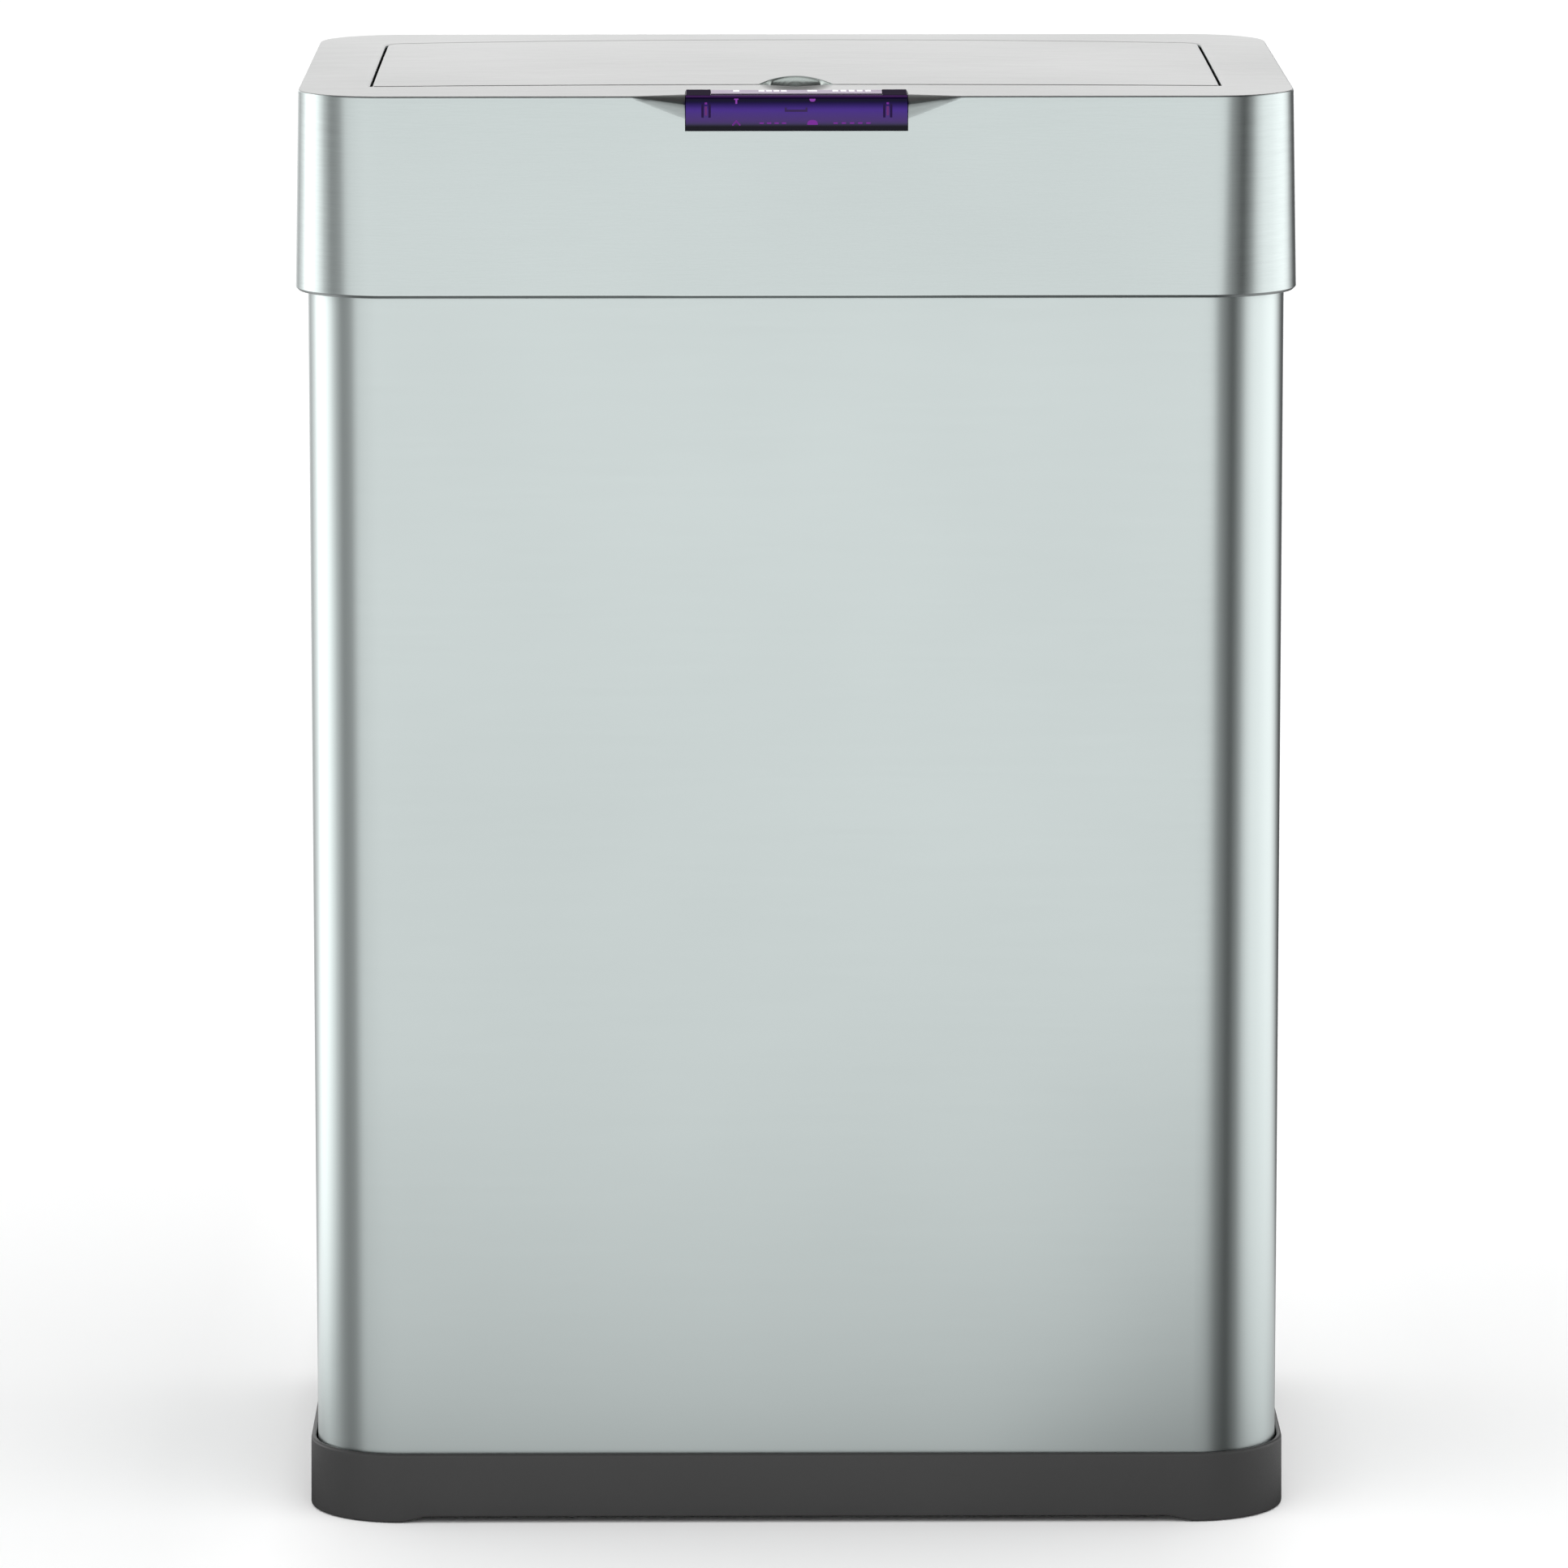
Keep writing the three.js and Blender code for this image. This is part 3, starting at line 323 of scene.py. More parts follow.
class Shader(Graph):
    """A material with a Principled shader."""

    def __init__(self, name):
        self.material = bpy.data.materials.new(name)
        self.material.use_nodes = True
        super().__init__(self.material.node_tree)
        self.bsdf = self.tree.nodes["Principled BSDF"]
        self.out = self.tree.nodes["Material Output"]

    def set(self, **values):
        for key, value in values.items():
            self.bsdf.inputs[key.replace("_", " ")].default_value = value

    def noise(self, scale, stretch=(1, 1, 1), detail=3.0, rough=0.55):
        """Noise on the object's own coordinates, stretched per axis."""
        mapping = self.node("ShaderNodeMapping")
        mapping.inputs["Scale"].default_value = stretch
        self.link(self.place(), mapping.inputs["Vector"])
        texture = self.node("ShaderNodeTexNoise")
        texture.inputs["Scale"].default_value = scale
        texture.inputs["Detail"].default_value = detail
        texture.inputs["Roughness"].default_value = rough
        self.link(mapping.outputs["Vector"], texture.inputs["Vector"])
        return texture.outputs["Fac"]

    def tint(self, color, factor, spread):
        """Base colour that varies with factor by plus or minus spread."""
        blend = self.node("ShaderNodeMix", data_type="RGBA")
        dark = [c * (1 - spread) for c in color] + [1]
        light = [min(1, c * (1 + spread)) for c in color] + [1]
        blend.inputs[6].default_value = dark
        blend.inputs[7].default_value = light
        self.link(factor, blend.inputs[0])
        self.link(blend.outputs[2], self.bsdf.inputs["Base Color"])

    def bump(self, height, distance, strength):
        made = self.node("ShaderNodeBump")
        made.inputs["Strength"].default_value = strength
        made.inputs["Distance"].default_value = distance
        self.link(height, made.inputs["Height"])
        self.link(made.outputs["Normal"], self.bsdf.inputs["Normal"])

    def tangent(self, direction):
        made = self.node("ShaderNodeCombineXYZ")
        for slot, value in zip("XYZ", direction):
            made.inputs[slot].default_value = value
        self.link(made.outputs[0], self.bsdf.inputs["Tangent"])


def pressed_dish(s):
    """1 in the shallow dish before the flap, under the thumb, fading to 0 at its rim."""
    x, y, _ = s.parts(s.place())
    across = s.math("DIVIDE", x, SCOOP["x"] * MM)
    ahead = s.math("DIVIDE", s.math("SUBTRACT", FLAP["front"] * MM, y), SCOOP["lip_run"] * MM)
    reach = s.math("SQRT", s.math("ADD", s.math("POWER", across, 2.0), s.math("POWER", ahead, 2.0)))
    on_plate = s.math("GREATER_THAN", ahead, -0.02)
    return s.math("MULTIPLY", s.remap(reach, 0.35, 1.0, 1.0, 0.0), on_plate)


def brushed_steel(name, color, tangent, grain, streaks, roughness=0.3, edge=(1, 1, 1), dish=0.0,
                  relief=0.35, uneven=0.03):
    """Brushed sheet: fine grain lines along the brushing, with longer fainter streaks over them."""
    s = Shader(name)
    fine = s.noise(1.0, grain, detail=4.0, rough=0.7)
    long_lines = s.noise(1.0, [g * 0.3 for g in grain], detail=2.0, rough=0.5)
    clouds = s.noise(6.0, (1, 1, 1), detail=2.0)
    pattern = s.math("ADD", s.math("MULTIPLY", fine, 0.55), s.math("MULTIPLY", long_lines, 0.45))
    s.tint(color, s.remap(pattern, 0.3, 0.7, 0, 1), streaks)
    varied = s.math("ADD", s.remap(pattern, 0.3, 0.7, roughness - uneven, roughness + uneven),
                    s.remap(clouds, 0.3, 0.7, -0.01, 0.01))
    if dish:
        varied = s.math("ADD", varied, s.math("MULTIPLY", pressed_dish(s), dish))
    s.link(varied, s.bsdf.inputs["Roughness"])
    s.set(Metallic=1.0, Anisotropic=0.9, Specular_Tint=(*edge, 1))
    s.tangent(tangent)
    s.bump(pattern, 0.00002, relief)
    return s.material


def moulded(name, color, roughness, grain=0.00003, scale=1400.0, specular=0.5):
    """Moulded plastic or rubber with a fine spark-eroded grain."""
    s = Shader(name)
    texture = s.noise(scale, detail=3.0)
    cloud = s.noise(18.0, detail=3.0)
    s.tint(color, cloud, 0.06)
    s.link(s.remap(texture, 0.3, 0.7, roughness - 0.05, roughness + 0.05), s.bsdf.inputs["Roughness"])
    s.set(Specular_IOR_Level=specular)
    s.bump(texture, grain, 0.6)
    return s.material


def metal(name, color, roughness):
    """Plain metal with a fine even grain."""
    s = Shader(name)
    texture = s.noise(600.0, detail=4.0)
    s.tint(color, texture, 0.12)
    s.link(s.remap(texture, 0.3, 0.7, roughness - 0.06, roughness + 0.06), s.bsdf.inputs["Roughness"])
    s.set(Metallic=1.0)
    s.bump(texture, 0.00001, 0.3)
    return s.material


def circuit_board():
    """Green solder mask with copper tracks that show as slightly lighter lines."""
    s = Shader("solder_mask")
    bricks = s.node("ShaderNodeTexBrick")
    bricks.inputs["Scale"].default_value = 160.0
    bricks.inputs["Mortar Size"].default_value = 0.012
    bricks.inputs["Color1"].default_value = (0.010, 0.075, 0.028, 1)
    bricks.inputs["Color2"].default_value = (0.014, 0.095, 0.034, 1)
    bricks.inputs["Mortar"].default_value = (0.05, 0.19, 0.06, 1)
    s.link(s.place(), bricks.inputs["Vector"])
    s.link(bricks.outputs["Color"], s.bsdf.inputs["Base Color"])
    s.set(Roughness=0.3)
    return s.material


def glowing(name, color, strength):
    """A lit lamp or mark."""
    s = Shader(name)
    s.set(Base_Color=(*color, 1), Emission_Color=(*color, 1), Emission_Strength=strength, Roughness=0.4)
    return s.material


STEEL_COLOR = (0.60, 0.662, 0.655)
WALL_STEEL = brushed_steel("brushed_body", STEEL_COLOR, (0, 0, 1), (60, 60, 1500), 0.006,
                           relief=0.07, uneven=0.01)
RIM_STEEL = brushed_steel("brushed_rim", STEEL_COLOR, (0, 0, 1), (100, 100, 1300), 0.075)
LID_STEEL = brushed_steel("brushed_lid", (0.66, 0.665, 0.66), (0, 1, 0), (70, 280, 900), 0.1, dish=0.36,
                          uneven=0.012)
BASE_PLASTIC = moulded("base_grain", (0.040, 0.040, 0.040), 0.45, specular=0.4)
BLACK_PLASTIC = moulded("black_grain", (0.014, 0.014, 0.016), 0.45)
GREY_PLASTIC = moulded("grey_grain", (0.13, 0.135, 0.14), 0.5)
FOOT_RUBBER = moulded("rubber_grain", (0.018, 0.018, 0.018), 0.8, grain=0.00005, scale=900.0)
NYLON = moulded("nylon_grain", (0.72, 0.70, 0.62), 0.4, specular=0.45)
CABLE_SKIN = moulded("cable_grain", (0.02, 0.02, 0.023), 0.55)
# Darker steel for the skirt hem's downward faces: painted shade of the gap under the head.
HEM_PAINTED_SHADE = metal("hem_shade_steel", (0.26, 0.28, 0.28), 0.34)
ZINC = metal("zinc_plate", (0.52, 0.53, 0.55), 0.34)
SPRING = metal("spring_wire", (0.50, 0.50, 0.50), 0.25)
CELL_CAN = metal("cell_sleeve", (0.20, 0.21, 0.22), 0.38)
BOARD = circuit_board()
MAGENTA = glowing("magenta_light", (0.16, 0.006, 0.26), 0.2)


# ------------------------------------------------------------------ camera, light and floor
def make_camera():
    """The photograph's viewing direction: just above the lid, almost square to the front."""
    data = bpy.data.cameras.new("camera")
    data.sensor_width = 36.0
    data.lens = 219.53
    data.clip_end = 60.0
    camera = bpy.data.objects.new("camera", data)
    bpy.context.scene.collection.objects.link(camera)
    pitch, yaw, roll = (math.radians(angle) for angle in (9.568, 0.307, -0.037))
    camera.location = (-0.02660, -4.10246, 0.98589)
    camera.rotation_mode = "QUATERNION"
    ahead = Vector((math.sin(yaw) * math.cos(pitch), math.cos(yaw) * math.cos(pitch), -math.sin(pitch)))
    camera.rotation_quaternion = ahead.to_track_quat("-Z", "Y") @ Quaternion((0, 0, 1), roll)
    bpy.context.scene.camera = camera


# Studio as mirrors see it, by bearing round the object, as brightness. Tall soft boxes stand at
# the sides, with dark flags between them.
STUDIO_ROUND = [
    (-180, 1.0), (-168, 0.85), (-150, 0.34), (-132, 0.8), (-118, 1.66), (-106, 1.4), (-95, 1.08),
    (-84, 0.56), (-73, 0.28), (-60, 0.40), (-50, 0.88), (-25, 1.0), (20, 1.0), (29, 0.42), (47, 0.08),
    (59, 0.36), (67, 0.8), (77, 1.02), (90, 1.04), (105, 1.1), (116, 1.12), (126, 0.86), (135, 0.42),
    (146, 0.08), (162, 0.08), (170, 0.9), (180, 1.0),
]
# Brightness by height above the horizon, towards the front and towards the back of the studio.
FRONT_SKY = [(-90, 0.9), (0, 1.0), (6, 1.0), (11, 0.86), (17, 0.5), (26, 0.16), (42, 0.05), (90, 0.05)]
BACK_SKY = [(-90, 0.9), (-1, 1.0), (3, 1.4), (14, 1.36), (24, 1.0), (36, 0.66), (50, 0.24), (64, 0.08),
            (90, 0.05)]
MIRROR_LEVEL = 1.36
DAYLIGHT = 1.12
TOP_SHARE = 0.675
FRONT_SHARE = 0.48
# Painted shade that mirrors see on the floor, by d / (d + 0.5), where d is metres from the object's
# footprint.
FLOOR_SHADE = [(0.0, 0.05), (0.05, 0.22), (0.1, 0.34), (0.22, 0.46), (0.32, 0.57), (0.44, 0.68), (0.6, 0.8),
               (0.7, 0.88), (0.8, 0.95), (0.9, 1.0), (1.0, 1.0)]
# Soft side light painted on the floor beside the object as glow, by metres from its middle plane.
SIDE_GLOW = [(-0.36, 0.03), (-0.27, 0.04), (-0.225, 0.10), (-0.19, 0.03), (-0.15, 0.0), (0.15, 0.0),
             (0.19, 0.05), (0.215, 0.12), (0.25, 0.12), (0.30, 0.08), (0.36, 0.06)]


def make_world():
    """The studio: white to the camera, soft light on matt surfaces, and soft boxes in mirrors."""
    world = bpy.data.worlds.new("studio")
    bpy.context.scene.world = world
    world.use_nodes = True
    world.cycles.sampling_method = "NONE"
    world.node_tree.nodes.clear()
    g = Graph(world.node_tree)
    x, y, z = g.parts(g.node("ShaderNodeTexCoord").outputs["Generated"])
    lift = g.math("MULTIPLY", g.math("ARCSINE", z), 180 / math.pi)
    to_back = g.remap(y, -0.5, 0.75, 0.0, 1.0)
    sky = g.pick(to_back, g.ramp(lift, FRONT_SKY), g.ramp(lift, BACK_SKY))
    around = g.ramp(g.bearing(x, y), STUDIO_ROUND)
    mirrored = g.math("MULTIPLY", g.math("MULTIPLY", around, sky), MIRROR_LEVEL)
    lean = g.math("SUBTRACT", g.math("MULTIPLY", z, TOP_SHARE), g.math("MULTIPLY", y, FRONT_SHARE))
    soft = g.math("MULTIPLY", g.math("ADD", 1.0 - TOP_SHARE * 2 / 3, lean), DAYLIGHT)
    path = g.node("ShaderNodeLightPath")
    lit = g.pick(path.outputs["Is Glossy Ray"], soft, mirrored)
    back = g.node("ShaderNodeBackground")
    back.inputs["Color"].default_value = (1, 1, 1, 1)
    g.link(g.pick(path.outputs["Is Camera Ray"], lit, 1.0), back.inputs["Strength"])
    g.link(back.outputs[0], g.node("ShaderNodeOutputWorld").inputs[0])


def make_floor():
    """Plain pale floor with a painted side glow. Mirrors see it as glow painted like the same studio: painted
    shade near the object and under the flags.
    """
    s = Shader("pale_floor")
    s.set(Base_Color=(0.93, 0.93, 0.93, 1), Roughness=0.9, Specular_IOR_Level=0.0)
    x, y, _ = s.parts(s.place())
    beside = s.math("MAXIMUM", s.math("SUBTRACT", s.math("ABSOLUTE", x), cad_high[0]), 0.0)
    before = s.math("MAXIMUM", s.math("SUBTRACT", s.math("ABSOLUTE", y), cad_high[1]), 0.0)
    away = s.math("SQRT", s.math("ADD", s.math("POWER", beside, 2.0), s.math("POWER", before, 2.0)))
    shade = s.ramp(s.math("DIVIDE", away, s.math("ADD", away, 0.5)), FLOOR_SHADE)
    around = s.ramp(s.bearing(x, y), STUDIO_ROUND)
    level = s.math("MULTIPLY", s.math("MULTIPLY", around, shade), MIRROR_LEVEL)
    s.set(Emission_Color=(1, 1, 1, 1))
    s.link(s.ramp(x, SIDE_GLOW), s.bsdf.inputs["Emission Strength"])
    glow = s.node("ShaderNodeEmission")
    s.link(level, glow.inputs["Strength"])
    glow.inputs["Color"].default_value = (1, 1, 1, 1)
    blend = s.node("ShaderNodeMixShader")
    s.link(s.node("ShaderNodeLightPath").outputs["Is Glossy Ray"], blend.inputs[0])
    s.link(s.bsdf.outputs[0], blend.inputs[1])
    s.link(glow.outputs[0], blend.inputs[2])
    s.link(blend.outputs[0], s.out.inputs[0])
    half = FLOOR_HALF
    corners = [(-half, -half, 0), (half, -half, 0), (half, half, 0), (-half, half, 0)]
    mesh_object("floor", corners, [(0, 1, 2, 3)], s.material, smooth=False)


make_camera()
make_world()
make_floor()
bpy.context.scene.view_settings.view_transform = "Standard"


# ------------------------------------------------------------------ lid surface
def lid_rise(x, y, dish=True):
    """Crown of the lid above its edge, less the thumb dish in the margin before the flap."""
    crown = DOME["rise"] * (1 - (y / DOME["y"]) ** 2) * (1 - (x / DOME["x"]) ** 2)
    ahead = FLAP["front"] - y
    if not dish or ahead < -SEAM:
        return crown
    reach = math.hypot(x / SCOOP["x"], max(0, ahead) / SCOOP["lip_run"])
    return crown - SCOOP["lip_depth"] * max(0.0, 1 - reach) ** 1.5


def notch_share(x, y):
    """0 away from the sensor bar, 1 beside it, along the front edge only."""
    if y > -DOME["y"] + 20 or abs(x) > NOTCH["x"]:
        return 0.0
    return min(1.0, (NOTCH["x"] - abs(x)) / (NOTCH["x"] - BAR_HIGH[0]))


def flap_outline(by):
    """The flap opening, shrunk by a margin, point for point with rounded_rect."""
    x = FLAP["x"] - by
    front = FLAP["front"] + by
    side = FLAP["back"] - FLAP["bow"]
    r = FLAP["back_r"] - by
    small = FLAP["front_r"]
    points = [(-x + small, front)] + [(s, front) for s in FRONT_X] + [(x - small, front)]

    def back_y(px):
        return side + 1 - by + (FLAP["bow"] - 1) * (1 - (px / (x - r)) ** 2)

    def small_corner(sign):
        made = []
        for i in range(1, CORNER):
            a = math.radians(90 * i / CORNER)
            if sign > 0:
                made.append((x - small + small * math.sin(a), front + small - small * math.cos(a)))
            else:
                made.append((-x + small - small * math.cos(a), front + small - small * math.sin(a)))
        return made

    def big_corner(sign):
        made = []
        for i in range(1, CORNER):
            t = i / CORNER
            p0, p1, p2 = (x, side - r), (x, side + 1 - by), (x - r, side + 1 - by)
            px = (1 - t) ** 2 * p0[0] + 2 * t * (1 - t) * p1[0] + t * t * p2[0]
            py = (1 - t) ** 2 * p0[1] + 2 * t * (1 - t) * p1[1] + t * t * p2[1]
            made.append((sign * px, py))
        return made if sign > 0 else list(reversed(made))

    points += small_corner(1)
    low, high = front + small, side - r
    rise = [mix(low, high, t) for t in SIDE_T]
    points += [(x, v) for v in rise]
    points += big_corner(1)
    points += [(x - r, side + 1 - by)] + [(-s, back_y(s)) for s in FRONT_X] + [(-x + r, side + 1 - by)]
    points += big_corner(-1)
    points += [(-x, v) for v in reversed(rise)]
    points += small_corner(-1)
    return points


# ------------------------------------------------------------------ head shells
def skirt_section(z, inward):
    t = (z - SKIRT_FOOT["z"]) / (SKIRT_TOP["z"] - SKIRT_FOOT["z"])
    w, d, r = (mix(SKIRT_FOOT[k], SKIRT_TOP[k], t) for k in "wdr")
    return rounded_rect(w - 2 * inward, d - 2 * inward, r - inward)


def make_skirt():
    """Deep steel skirt with a folded lower hem; its top edge dips beside the sensor bar. The hem's downward
    faces take darker steel as painted shade.
    """
    z0, z1 = SKIRT_FOOT["z"] - HEM["drop"], SKIRT_TOP["z"] + 0.25
    hem = HEM["fold"]
    profile = [(3.0, z0 + 0.8), (3.0, z0 + 0.3), (2.7, z0), (hem, z0), (hem * 0.5, z0 + hem * 0.5),
               (0.08, z0 + hem - 0.08), (0.0, z0 + hem + 0.12)]
    profile += [(0.0, mix(z0 + 2.0, z1 - 2.0, i / 8)) for i in range(9)]
    profile += [(0.0, z1 - 0.4), (0.06, z1 - 0.15), (0.25, z1), (0.6, z1), (0.6, z0 + 3.0), (1.0, z0 + 1.4)]
    rings = []
    for inward, z in profile:
        share = (z - z0) / (z1 - z0)
        ring = []
        for x, y, _, _ in skirt_section(z, inward):
            drop = notch_share(x, y) * (z1 - NOTCH["low"]) * share
            ring.append((x, y, z - drop))
        rings.append(ring)
    verts, faces = skin(rings, True)
    skirt = mesh_object("rim_skirt_shell", verts, faces, RIM_STEEL)
    # Faces turned down, in the hem's fold, take the darker steel: painted shade.
    skirt.data.materials.append(HEM_PAINTED_SHADE)
    for face in skirt.data.polygons:
        face.material_index = int(face.normal.z < -0.3)
    side = BAR_HIGH[0] + SLOT
    bar_hole = box_cutter(-side, side, AHEAD, -120, BAR_LOW[2] - 0.25, ABOVE)
    rear_hole = box_cutter(REAR_LOW[0] - SLOT, REAR_HIGH[0] + SLOT, 130, BEHIND,
                           REAR_LOW[2] - SLOT, REAR_HIGH[2] + SLOT)
    cut(skirt, [bar_hole, rear_hole])
    return put(skirt, "head", "brushed_stainless", "rim_skirt")


def edge_profile(share):
    """Section of the plate's outer edge, as (inward, down) from its flat: a small round, or the cove."""
    height = mix(EDGE_R, NOTCH["drop"], share)
    reach = mix(EDGE_R, NOTCH["reach"], share)
    facet = NOTCH["facet"] * smoothstep(share * 2.5) * height
    lean = math.tan(math.radians(NOTCH["lean_deg"])) * smoothstep(share * 4)
    points = [(-LAP, height + 0.5)] + [(facet * lean * k / 3 - LAP, height - facet * k / 3) for k in range(3)]
    start, end = (facet * lean, height - facet), (reach, 0.0)
    full = smoothstep(share * 2.5)
    bend = (mix(0.0, mix(start[0], reach, 0.4), full), mix(0.0, 0.28 * start[1], full))
    for k in range(EDGE_STEPS + 1):
        t = k / EDGE_STEPS
        points.append(tuple((1 - t) ** 2 * a + 2 * t * (1 - t) * b + t * t * c
                            for a, b, c in zip(start, bend, end)))
    return points


def make_top_plate():
    """Crowned plate: rounded outer edge, swelling into coves beside the bar, open for the flap."""
    outer = rounded_rect(SKIRT_TOP["w"], SKIRT_TOP["d"], SKIRT_TOP["r"])
    inner = flap_outline(0)
    spread = [0.04, 0.1, 0.18, 0.27, 0.37, 0.46, 0.54, 0.61, 0.68, 0.74, 0.8, 0.85, 0.9, 0.94, 0.97, 1.0]
    sections = [edge_profile(notch_share(x, y)) for x, y, _, _ in outer]
    rings = []
    for k in range(len(sections[0])):
        ring = []
        for (x, y, nx, ny), section in zip(outer, sections):
            inward, down = section[k]
            px, py = x - nx * inward, y - ny * inward
            ring.append((px, py, EDGE_Z + lid_rise(px, py) - down))
        rings.append(ring)
    shoulder = rings[-1]
    for s in spread:
        ring = []
        for (ax, ay, _), (bx, by) in zip(shoulder, inner):
            px, py = mix(ax, bx, s), mix(ay, by, s)
            ring.append((px, py, EDGE_Z + lid_rise(px, py)))
        rings.append(ring)
    rings[-1] = [(px, py, z - INNER_EDGE_DROP) for px, py, z in rings[-1]]

    def under(ring):
        return [(px, py, z - PLATE) for px, py, z in ring]

    inside_edge = [(x - nx * PLATE, y - ny * PLATE, z) for (x, y, nx, ny), (_, _, z) in zip(outer, rings[0])]
    verts, faces = skin(rings + [under(rings[-1]), under(rings[-8]), under(shoulder), inside_edge], True)
    plate = mesh_object("lid_frame_plate", verts, faces, LID_STEEL)
    plate.data.materials.append(RIM_STEEL)
    for face in plate.data.polygons:
        face.material_index = int(face.normal.z < 0.7)
    side = BAR_HIGH[0] + SLOT
    cut(plate, [box_cutter(-side, side, AHEAD, BAR_HIGH[1] + SLOT, UNDER_BAR, ABOVE)])
    return put(plate, "head", "brushed_stainless", "top_plate")


# ------------------------------------------------------------------ flap
def outward_normals(outline):
    made = []
    for i, _ in enumerate(outline):
        (ax, ay), (bx, by) = outline[i - 1], outline[(i + 1) % len(outline)]
        length = math.hypot(bx - ax, by - ay) or 1.0
        made.append(((by - ay) / length, (ax - bx) / length))
    return made


def make_flap():
    """Flap sheet with folded edges; the thumb scoop's outline is cut out of its front."""
    outline = flap_outline(SEAM)
    normals = outward_normals(outline)
    fold, spine_x = FLAP["fold"], FLAP["spine_x"]
    rings = [[(x, y, EDGE_Z + lid_rise(x, y, False) - depth) for x, y in outline]
             for depth in (FLAP["skirt"], 1.2)]
    for k in range(5):
        a = math.radians(90 * k / 4)
        inward, down = fold * (1 - math.cos(a)), fold * (1 - math.sin(a))
        ring = []
        for (x, y), (nx, ny) in zip(outline, normals):
            px, py = x - nx * inward, y - ny * inward
            ring.append((px, py, EDGE_Z + lid_rise(px, py, False) - down))
        rings.append(ring)
    folded = rings[-1]
    edge_rings = len(rings)
    for s in (0.03, 0.08, 0.15, 0.24, 0.34, 0.45, 0.56, 0.67, 0.78, 0.88, 0.95, 1.0):
        ring = []
        for x, y, _ in folded:
            px = mix(x, max(-spine_x, min(spine_x, x)), s)
            py = mix(y, FLAP["spine_y"], s)
            ring.append((px, py, EDGE_Z + lid_rise(px, py, False)))
        rings.append(ring)
    under = [[(x, y, z - PLATE) for x, y, z in ring] for ring in reversed(rings[edge_rings:])]
    inside = [[(x - nx * PLATE, y - ny * PLATE, EDGE_Z + lid_rise(x, y, False) - depth)
               for (x, y), (nx, ny) in zip(outline, normals)]
              for depth in (PLATE + 0.2, FLAP["skirt"])]
    verts, faces = skin(under + inside + rings, False)
    flap = mesh_object("flap_sheet", verts, faces, LID_STEEL)

    front = FLAP["front"] + SEAM
    arc = [(x, front + back) for x, back in scoop_outline(1.0)]
    shape = [(SCOOP["x"], front - 4)] + arc + [(-SCOOP["x"], front - 4)]
    verts, faces = capped([[(x, y, z) for x, y in shape] for z in (595, 615)])
    cut(flap, [mesh_object("cutter", verts, faces, None, smooth=False)])
    return put(flap, "flap", "brushed_stainless", "flap_panel")


def scoop_outline(reach):
    """Points (x, distance behind the flap's front) of the scoop's outline, scaled by reach."""
    made = []
    for i in range(SCOOP_STEPS + 1):
        a = math.pi * i / SCOOP_STEPS
        made.append((SCOOP["x"] * reach * math.cos(a),
                     SCOOP["length"] * reach * math.sin(a) ** (2 * SCOOP["bulge"])))
    return made


def make_scoop():
    """Pressed thumb scoop: a thin rim, a short wall and a ramp that deepens towards the front."""
    front = FLAP["front"] + SEAM
    reaches = [0.995, 0.985, 0.97, 0.955, 0.94, 0.92, 0.89, 0.84, 0.76, 0.66, 0.55, 0.44, 0.33, 0.22,
               0.11, 0.0]
    verts = []
    for reach in reaches:
        for x, back in scoop_outline(reach):
            wall = smoothstep((1 - reach) / 0.07)
            ramp = SCOOP["rim"] + SCOOP["slope"] * (SCOOP["length"] - back)
            ramp += SCOOP["roll"] * smoothstep((SCOOP["roll_from"] - back) / SCOOP["roll_run"])
            verts.append((x, front + back, EDGE_Z + lid_rise(x, front + back, False) - 0.05 - ramp * wall))
    faces = []
    across = SCOOP_STEPS + 1
    for j in range(len(reaches) - 1):
        for i in range(SCOOP_STEPS):
            a = j * across + i
            faces.append((a, a + 1, a + 1 + across, a + across))
    # The scoop's darker steel is painted shade in the recess.
    scoop = mesh_object("thumb_scoop", verts, faces, SCOOP_PAINTED_SHADE_STEEL, sharp_deg=60)
    if scoop.data.polygons[0].normal.z < 0:
        scoop.data.flip_normals()
    solid = scoop.modifiers.new("sheet", "SOLIDIFY")
    solid.thickness = 0.6 * MM
    solid.offset = -1
    return put(scoop, "flap", "brushed_stainless")


# ------------------------------------------------------------------ body, collar, ring and base
def body_ring(z, inward):
    return [(x, y, z) for x, y, _, _ in
            rounded_rect(BODY["w"] - 2 * inward, BODY["d"] - 2 * inward, BODY["r"] - inward)]


def make_body():
    """Body sheet: its upper edge is turned, and its lower edge stands in the base tray."""
    z0, z1 = BODY_LOW[2], BODY_HIGH[2]
    heights = [mix(z0, z1 - 0.3, i / 10) for i in range(11)]
    profile = [(0.0, z) for z in heights] + [(0.1, z1 - 0.05), (0.3, z1), (STEEL, z1), (STEEL, z0)]
    verts, faces = skin([body_ring(z, inward) for inward, z in profile], True)
    return put(mesh_object("body_sheet", verts, faces, WALL_STEEL), "bin", "brushed_stainless", "body_shell")


def make_collar():
    """Moulded collar over the sheet's edge, with the ledge that carries the bag ring."""
    low, top = COLLAR_LOW[2], COLLAR_HIGH[2]
    inside, lip = STEEL + 0.3, BODY_HIGH[2] + 0.3
    ledge, inner, under = LEDGE["z"], LEDGE["inner"], LEDGE["z"] - LEDGE["thick"]
    profile = [(inside, low), (inside, lip), (-0.3, lip), (-0.3, top - 0.4), (0.0, top), (4.2, top),
               (4.5, top - 0.3), (4.5, ledge + 0.2), (4.7, ledge), (inner - 0.4, ledge),
               (inner, ledge - 0.4), (inner, under), (2.9, under), (2.9, low)]
    verts, faces = skin([body_ring(z, inward) for inward, z in profile], True)
    collar = mesh_object("collar_moulding", verts, faces, BLACK_PLASTIC)
    return put(collar, "bin", "black_plastic", "body_collar")


